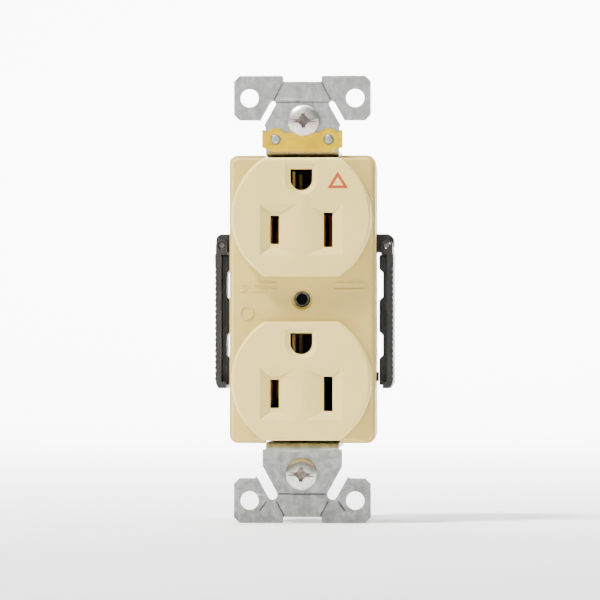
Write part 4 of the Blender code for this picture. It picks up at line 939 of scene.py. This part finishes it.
# ---- Clip ----
def make_clip():
    front, half = CLIP_LOW.y, CLIP_HIGH.x
    lobe_start, lobe_end = CLIP_LOBE_ENDS
    right = [(STUD[0] + CLIP_FOOT, CLIP_LOW.z), (half, CLIP_SIDE_BOTTOM), (half, CLIP_SIDE_TOP)]
    right += arc(STUD, CLIP_LOBE_RADIUS, lobe_start, lobe_end - lobe_start, 16)
    holes = [circle((CLIP_SCREW_X, UPPER_SCREW_LOW.z + MOUNT_HEAD_RADIUS), CLIP_SCREW_HOLE)]
    holes += [circle((side * STUD[0], STUD[1]), STUD_RADIUS + CLIP_STUD_GAP, 32) for side in (-1, 1)]
    clip = plate("clip", [mirrored(right)], "XZ", front, front + CLIP_THICKNESS)
    for hole in holes:
        cut(clip, plate("hole", [hole], "XZ", front - REACH, front + REACH))
    back = CLIP_HIGH.y
    for side in (-1, 1):
        outside = side * half
        inside = side * (half - CLIP_THICKNESS)
        join(clip, box("wall", (inside, front + LAP, CLIP_SIDE_BOTTOM), (outside, back, CLIP_SIDE_TOP)))
        hook_low = (side * CLIP_HOOK_X, back - CLIP_THICKNESS, CLIP_SIDE_BOTTOM)
        join(clip, box("hook", hook_low, (outside - side * LAP, back, CLIP_SIDE_TOP)))
    soften(clip, CLIP_ROUNDING, 3, 40, CLIP_CREASE)
    show(clip, "clip_spring", "grounding_clip", BRASS)


# ---- Screws ----
def dome(back, front, radius, crown, steps=10):
    """A screw head's profile from its flat back to its domed front; front is the lower distance."""
    height = back - front
    rim = height - crown
    profile = [(back, radius - HEAD_BREAK), (back - HEAD_BREAK, radius), (back - rim, radius)]
    for step in range(1, steps + 1):
        angle = math.pi / 2 * step / steps
        profile.append((back - rim - crown * math.sin(angle), radius * math.cos(angle)))
    return profile


def drive_cutters(place, front, radius, turn):
    """A combination drive: a slot across the head, a tapered cross and a square socket."""
    slot_half, slot_depth = MOUNT_SLOT
    tools = [box("slot", (-radius - REACH, -REACH, -slot_half), (radius + REACH, slot_depth, slot_half))]
    corners = [(x * reach, y, z * half) for reach, half, y in MOUNT_CROSS for x in (-1, 1) for z in (-1, 1)]
    for quarter in (0, 1):
        arm = hull("cross", corners)
        arm.data.transform(Matrix.Rotation(quarter * math.pi / 2, 4, "Y"))
        tools.append(arm)
    square_half, square_depth = MOUNT_SQUARE
    square = box("square", (-square_half, -REACH, -square_half), (square_half, square_depth, square_half))
    square.data.transform(Matrix.Rotation(math.pi / 4, 4, "Y"))
    tools.append(square)
    for tool in tools:
        tool.data.transform(Matrix.Translation((place[0], front, place[2])) @ Matrix.Rotation(turn, 4, "Y"))
    return tools


def in_recess(place, front):
    """Whether a point on a mounting screw's head lies down in its drive, below the dome."""
    across = math.hypot(place.x, place.z)
    dome_front = front + MOUNT_CROWN * (1 - math.sqrt(max(0, 1 - (across / MOUNT_HEAD_RADIUS) ** 2)))
    floor = front + MOUNT_HEAD_HEIGHT - 2 * HEAD_BREAK
    return across < RECESS_RADIUS and dome_front + RECESS_BELOW_DOME < place.y < floor


def make_mounting_screw(end, turn):
    node = f"mounting_screw_{end}"
    low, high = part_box(node)
    place = Vector(((low.x + high.x) / 2, 0, (low.z + high.z) / 2))
    seat = low.y + MOUNT_HEAD_HEIGHT
    head = turned("head", dome(seat, low.y, MOUNT_HEAD_RADIUS, MOUNT_CROWN)[::-1], place, steps=72)
    cut(head, *drive_cutters(place, low.y, MOUNT_HEAD_RADIUS, turn))
    smooth(split_large_faces(head), HEAD_CREASE)
    shank = thread_rod("shank", place, seat - LAP, high.y, MOUNT_THREAD)
    smooth(shank, THREAD_CREASE)
    show(head, f"{node}_head", node, NICKEL)
    # painted shade: faces down in the drive take the darker recess material
    head.data.materials.append(RECESS_PAINTED_SHADE)
    for face in head.data.polygons:
        face.material_index = int(in_recess(face.center - place, low.y))
    show(shank, f"{node}_thread", node, NICKEL, False)


def make_terminal_screw(node, side, material):
    low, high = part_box(node)
    radius = (high.z - low.z) / 2
    place = (0, (low.y + high.y) / 2, (low.z + high.z) / 2)
    face, tip = (high.x, low.x) if side > 0 else (low.x, high.x)
    seat = face - side * TERMINAL_HEAD
    profile = [(seat, radius - TERMINAL_BREAK), (seat + side * TERMINAL_BREAK, radius)]
    profile += [(face - side * depth, radius * share) for depth, share in TERMINAL_CROWN]
    head = turned("head", profile, place, "X", 56)
    for half_y, half_z in ((radius + REACH, DRIVE_HALF), (DRIVE_HALF, DRIVE_CROSS)):
        low_corner = (face - side * DRIVE_DEPTH, place[1] - half_y, place[2] - half_z)
        high_corner = (face + side * REACH, place[1] + half_y, place[2] + half_z)
        cut(head, box("drive", low_corner, high_corner))
    soften(head, TERMINAL_ROUNDING, 2, 45)
    shank = thread_rod("shank", place, seat + side * LAP, tip, TERMINAL_THREAD, "X")
    smooth(shank, THREAD_CREASE)
    show(head, f"{node}_head", node, material)
    show(shank, f"{node}_thread", node, material, False)
    return place[2]


def make_clamp_plate(node, side, screw_z):
    """A clamp plate with serrations across its gripping side."""
    low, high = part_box(node)
    shape = copy_of(node)
    edge = low.x if side > 0 else high.x
    ends = (low.y - REACH, high.y + REACH)
    for place in SERRATIONS:
        z = screw_z + place * SERRATION_PITCH
        points = [(edge + side * SERRATION_DEPTH, y, z) for y in ends]
        for offset in (-SERRATION_HALF, SERRATION_HALF):
            points += [(edge - side * SERRATION_FOOT, y, z + offset) for y in ends]
        cut(shape, hull("serration", points))
    soften(shape, TERMINAL_ROUNDING)
    show(shape, f"{node}_pressing", node, BRASS)


def make_terminal(prefix, suffix, side, material):
    screw_z = make_terminal_screw(f"{prefix}_screw{suffix}", side, material)
    make_clamp_plate(f"{prefix}_clamp_plate{suffix}", side, screw_z)


# ---- Bushing ----
def make_bushing():
    """The bushing that the wall plate's screw goes into, threaded inside."""
    front, back = BUSHING_LOW.y, BUSHING_HIGH.y
    profile = [
        (front, BUSHING_BORE + BUSHING_BREAK),
        (front, BUSHING_RADIUS - BUSHING_BREAK),
        (front + BUSHING_BREAK, BUSHING_RADIUS),
        (BUSHING_COLLAR_Y, BUSHING_RADIUS),
        (BUSHING_COLLAR_Y, BUSHING_COLLAR - BUSHING_COLLAR_BREAK),
        (BUSHING_COLLAR_Y + BUSHING_COLLAR_BREAK, BUSHING_COLLAR),
        (back - BUSHING_COLLAR_BACK, BUSHING_COLLAR),
        (back - BUSHING_TAIL, BUSHING_RADIUS),
        (back, BUSHING_RADIUS),
        (back, BUSHING_BORE),
    ]
    steps = BUSHING_STEPS
    rings = [[(radius, along)] * steps for along, radius in profile]
    rows = int((back - front) / THREAD_PITCH * BUSHING_ROWS_PER_TURN)
    for row in range(rows + 1):
        along = back - BUSHING_THREAD_END - (back - front - 2 * BUSHING_THREAD_END) * row / rows
        phases = [(along / THREAD_PITCH - step / steps) % 1.0 for step in range(steps)]
        rings.append([(BUSHING_BORE + BUSHING_BREAK * abs(2 * phase - 1), along) for phase in phases])
    bm = bmesh.new()
    made = []
    for ring in rings:
        points = [(r, y, 2 * math.pi * step / steps) for step, (r, y) in enumerate(ring)]
        made.append([bm.verts.new((r * math.cos(angle), y, r * math.sin(angle))) for r, y, angle in points])
    for low, high in zip(made, made[1:] + made[:1]):
        for step in range(steps):
            after = (step + 1) % steps
            bm.faces.new((low[step], low[after], high[after], high[step]))
    shape = smooth(from_bmesh("bushing", bm), HEAD_CREASE)
    show(shape, "bushing_threaded", "centre_bushing", BLACKENED)


# ---- Pieces rounded from their own solids ----
def make_rounded(node, width, material, angle=32):
    show(soften(copy_of(node), width, 2, angle), node + "_piece", node, material)


def make_guard(side):
    """A terminal guard with grip notches down the front edge of its outer face."""
    node = f"terminal_guard_{side}"
    low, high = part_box(node)
    outer, inward = (high.x, -1) if side == "right" else (low.x, 1)
    shape = copy_of(node)
    start, end = low.y - REACH, low.y + GRIP_LENGTH
    levels = ((outer, end, GRIP_PITCH / 3), (outer + inward * GRIP_DEPTH, end - GRIP_DEPTH, GRIP_PITCH / 7))
    for notch in range(GRIP_NOTCHES):
        z = low.z + GRIP_START + notch * GRIP_PITCH
        points = [(outer - inward * REACH, y, z) for y in (start, end)]
        for x, last, half in levels:
            points += [(x, y, z + offset) for y in (start, last) for offset in (-half, half)]
        cut(shape, hull("grip", points))
    show(soften(shape, GUARD_ROUNDING, 2, 40), node + "_piece", node, BLACK)


def make_body_and_inner_pieces():
    make_rounded("rear_body", BODY_ROUNDING, BLACK, 45)
    for node in ("hot_contact_strip", "neutral_contact_strip"):
        make_rounded(node, CONTACT_ROUNDING, CONTACT_BRASS)
    make_rounded("ground_contact_strip", CONTACT_ROUNDING, GROUND_BRASS)
    make_rounded("back_insulator", INSULATOR_ROUNDING, GREY_FIBRE)
    for end in ("upper", "lower"):
        make_rounded(f"retaining_washer_{end}", WASHER_ROUNDING, FIBRE, 50)
        make_rounded(f"assembly_screw_{end}", PIN_ROUNDING, ZINC, 50)
    for side in ("left", "right"):
        make_rounded(f"terminal_hinge_pin_{side}", PIN_ROUNDING, BLACKENED, 50)


# ---- Stage ----
def make_stage():
    """A pale sweep: a floor that curves up into a wall behind the outlet."""
    floor_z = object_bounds()[0].z - FLOOR_GAP
    bend_y = SWEEP_BACK - SWEEP_BEND
    line = [(SWEEP_FRONT, floor_z), (bend_y, floor_z)]
    line += arc((bend_y, floor_z + SWEEP_BEND), SWEEP_BEND, -math.pi / 2, math.pi / 2, 24)[1:]
    line.append((SWEEP_BACK, SWEEP_TOP))
    bm = bmesh.new()
    left = [bm.verts.new((-SWEEP_HALF_WIDTH, y, z)) for y, z in line]
    right = [bm.verts.new((SWEEP_HALF_WIDTH, y, z)) for y, z in line]
    for index in range(len(line) - 1):
        bm.faces.new((left[index], right[index], right[index + 1], left[index + 1]))
    mesh = bpy.data.meshes.new("sweep")
    bm.to_mesh(mesh)
    bm.free()
    sweep = add_object("sweep", mesh)
    mesh.shade_smooth()
    look = Look("sweep_paper", IOR=1.4, Specular_IOR_Level=0.1)
    tone = look.noise(2.0, 2.0)
    colour = look.ramp(tone, (0.3, (0.93, 0.93, 0.93)), (0.7, (0.95, 0.95, 0.95)))
    mesh.materials.append(look.done(colour, look.ramp(tone, (0.3, 0.9), (0.7, 0.95))))


def make_lights():
    """A soft grey room that is brighter above, two lights in front, and one on the sweep."""
    world = bpy.data.worlds.new("studio")
    bpy.context.scene.world = world
    world.use_nodes = True
    nodes, links = world.node_tree.nodes, world.node_tree.links
    place = nodes.new("ShaderNodeTexCoord")
    split = nodes.new("ShaderNodeSeparateXYZ")
    links.new(place.outputs["Generated"], split.inputs["Vector"])
    ramp = nodes.new("ShaderNodeValToRGB")
    ramp.color_ramp.elements[0].position = 0.0
    ramp.color_ramp.elements[0].color = (*ROOM_DARK, 1)
    ramp.color_ramp.elements[1].position = 1.0
    ramp.color_ramp.elements[1].color = (*ROOM_LIGHT, 1)
    height = nodes.new("ShaderNodeMapRange")
    height.inputs["From Min"].default_value = ROOM_LOW
    height.inputs["From Max"].default_value = ROOM_HIGH
    links.new(split.outputs["Z"], height.inputs["Value"])
    links.new(height.outputs["Result"], ramp.inputs["Fac"])
    background = nodes["Background"]
    background.inputs["Strength"].default_value = ROOM_STRENGTH
    links.new(ramp.outputs["Color"], background.inputs["Color"])
    for name, place, target, size, power, spread in LIGHTS:
        light = bpy.data.lights.new(name, "AREA")
        light.energy = power
        light.size = size
        light.spread = math.radians(spread)
        lamp = bpy.data.objects.new(name, light)
        lamp.location = place
        lamp.rotation_euler = (Vector(target) - Vector(place)).to_track_quat("-Z", "Y").to_euler()
        bpy.context.scene.collection.objects.link(lamp)


def make_camera():
    """Nearly level with the outlet, a little to its right, and a metre away on a long lens."""
    data = bpy.data.cameras.new("camera")
    data.lens = CAMERA_LENS
    camera = bpy.data.objects.new("camera", data)
    bpy.context.scene.collection.objects.link(camera)
    azimuth, elevation = math.radians(CAMERA_AZIMUTH), math.radians(CAMERA_ELEVATION)
    level = math.cos(elevation)
    back = Vector((math.sin(azimuth) * level, -math.cos(azimuth) * level, math.sin(elevation)))
    camera.location = Vector(CAMERA_TARGET) + back
    camera.rotation_euler = (-back).to_track_quat("-Z", "Y").to_euler()
    bpy.context.scene.camera = camera


# ---- Assembly ----
make_camera()
make_stage()
make_lights()
make_face_cover()
make_strap()
make_clip()
make_mounting_screw("upper", UPPER_DRIVE_TURN)
make_mounting_screw("lower", LOWER_DRIVE_TURN)
make_terminal("hot", "_upper", -1, BRASS)
make_terminal("hot", "_lower", -1, BRASS)
make_terminal("neutral", "_upper", 1, NICKEL)
make_terminal("neutral", "_lower", 1, NICKEL)
make_terminal("ground", "", 1, GREEN)
make_bushing()
make_guard("left")
make_guard("right")
make_body_and_inner_pieces()
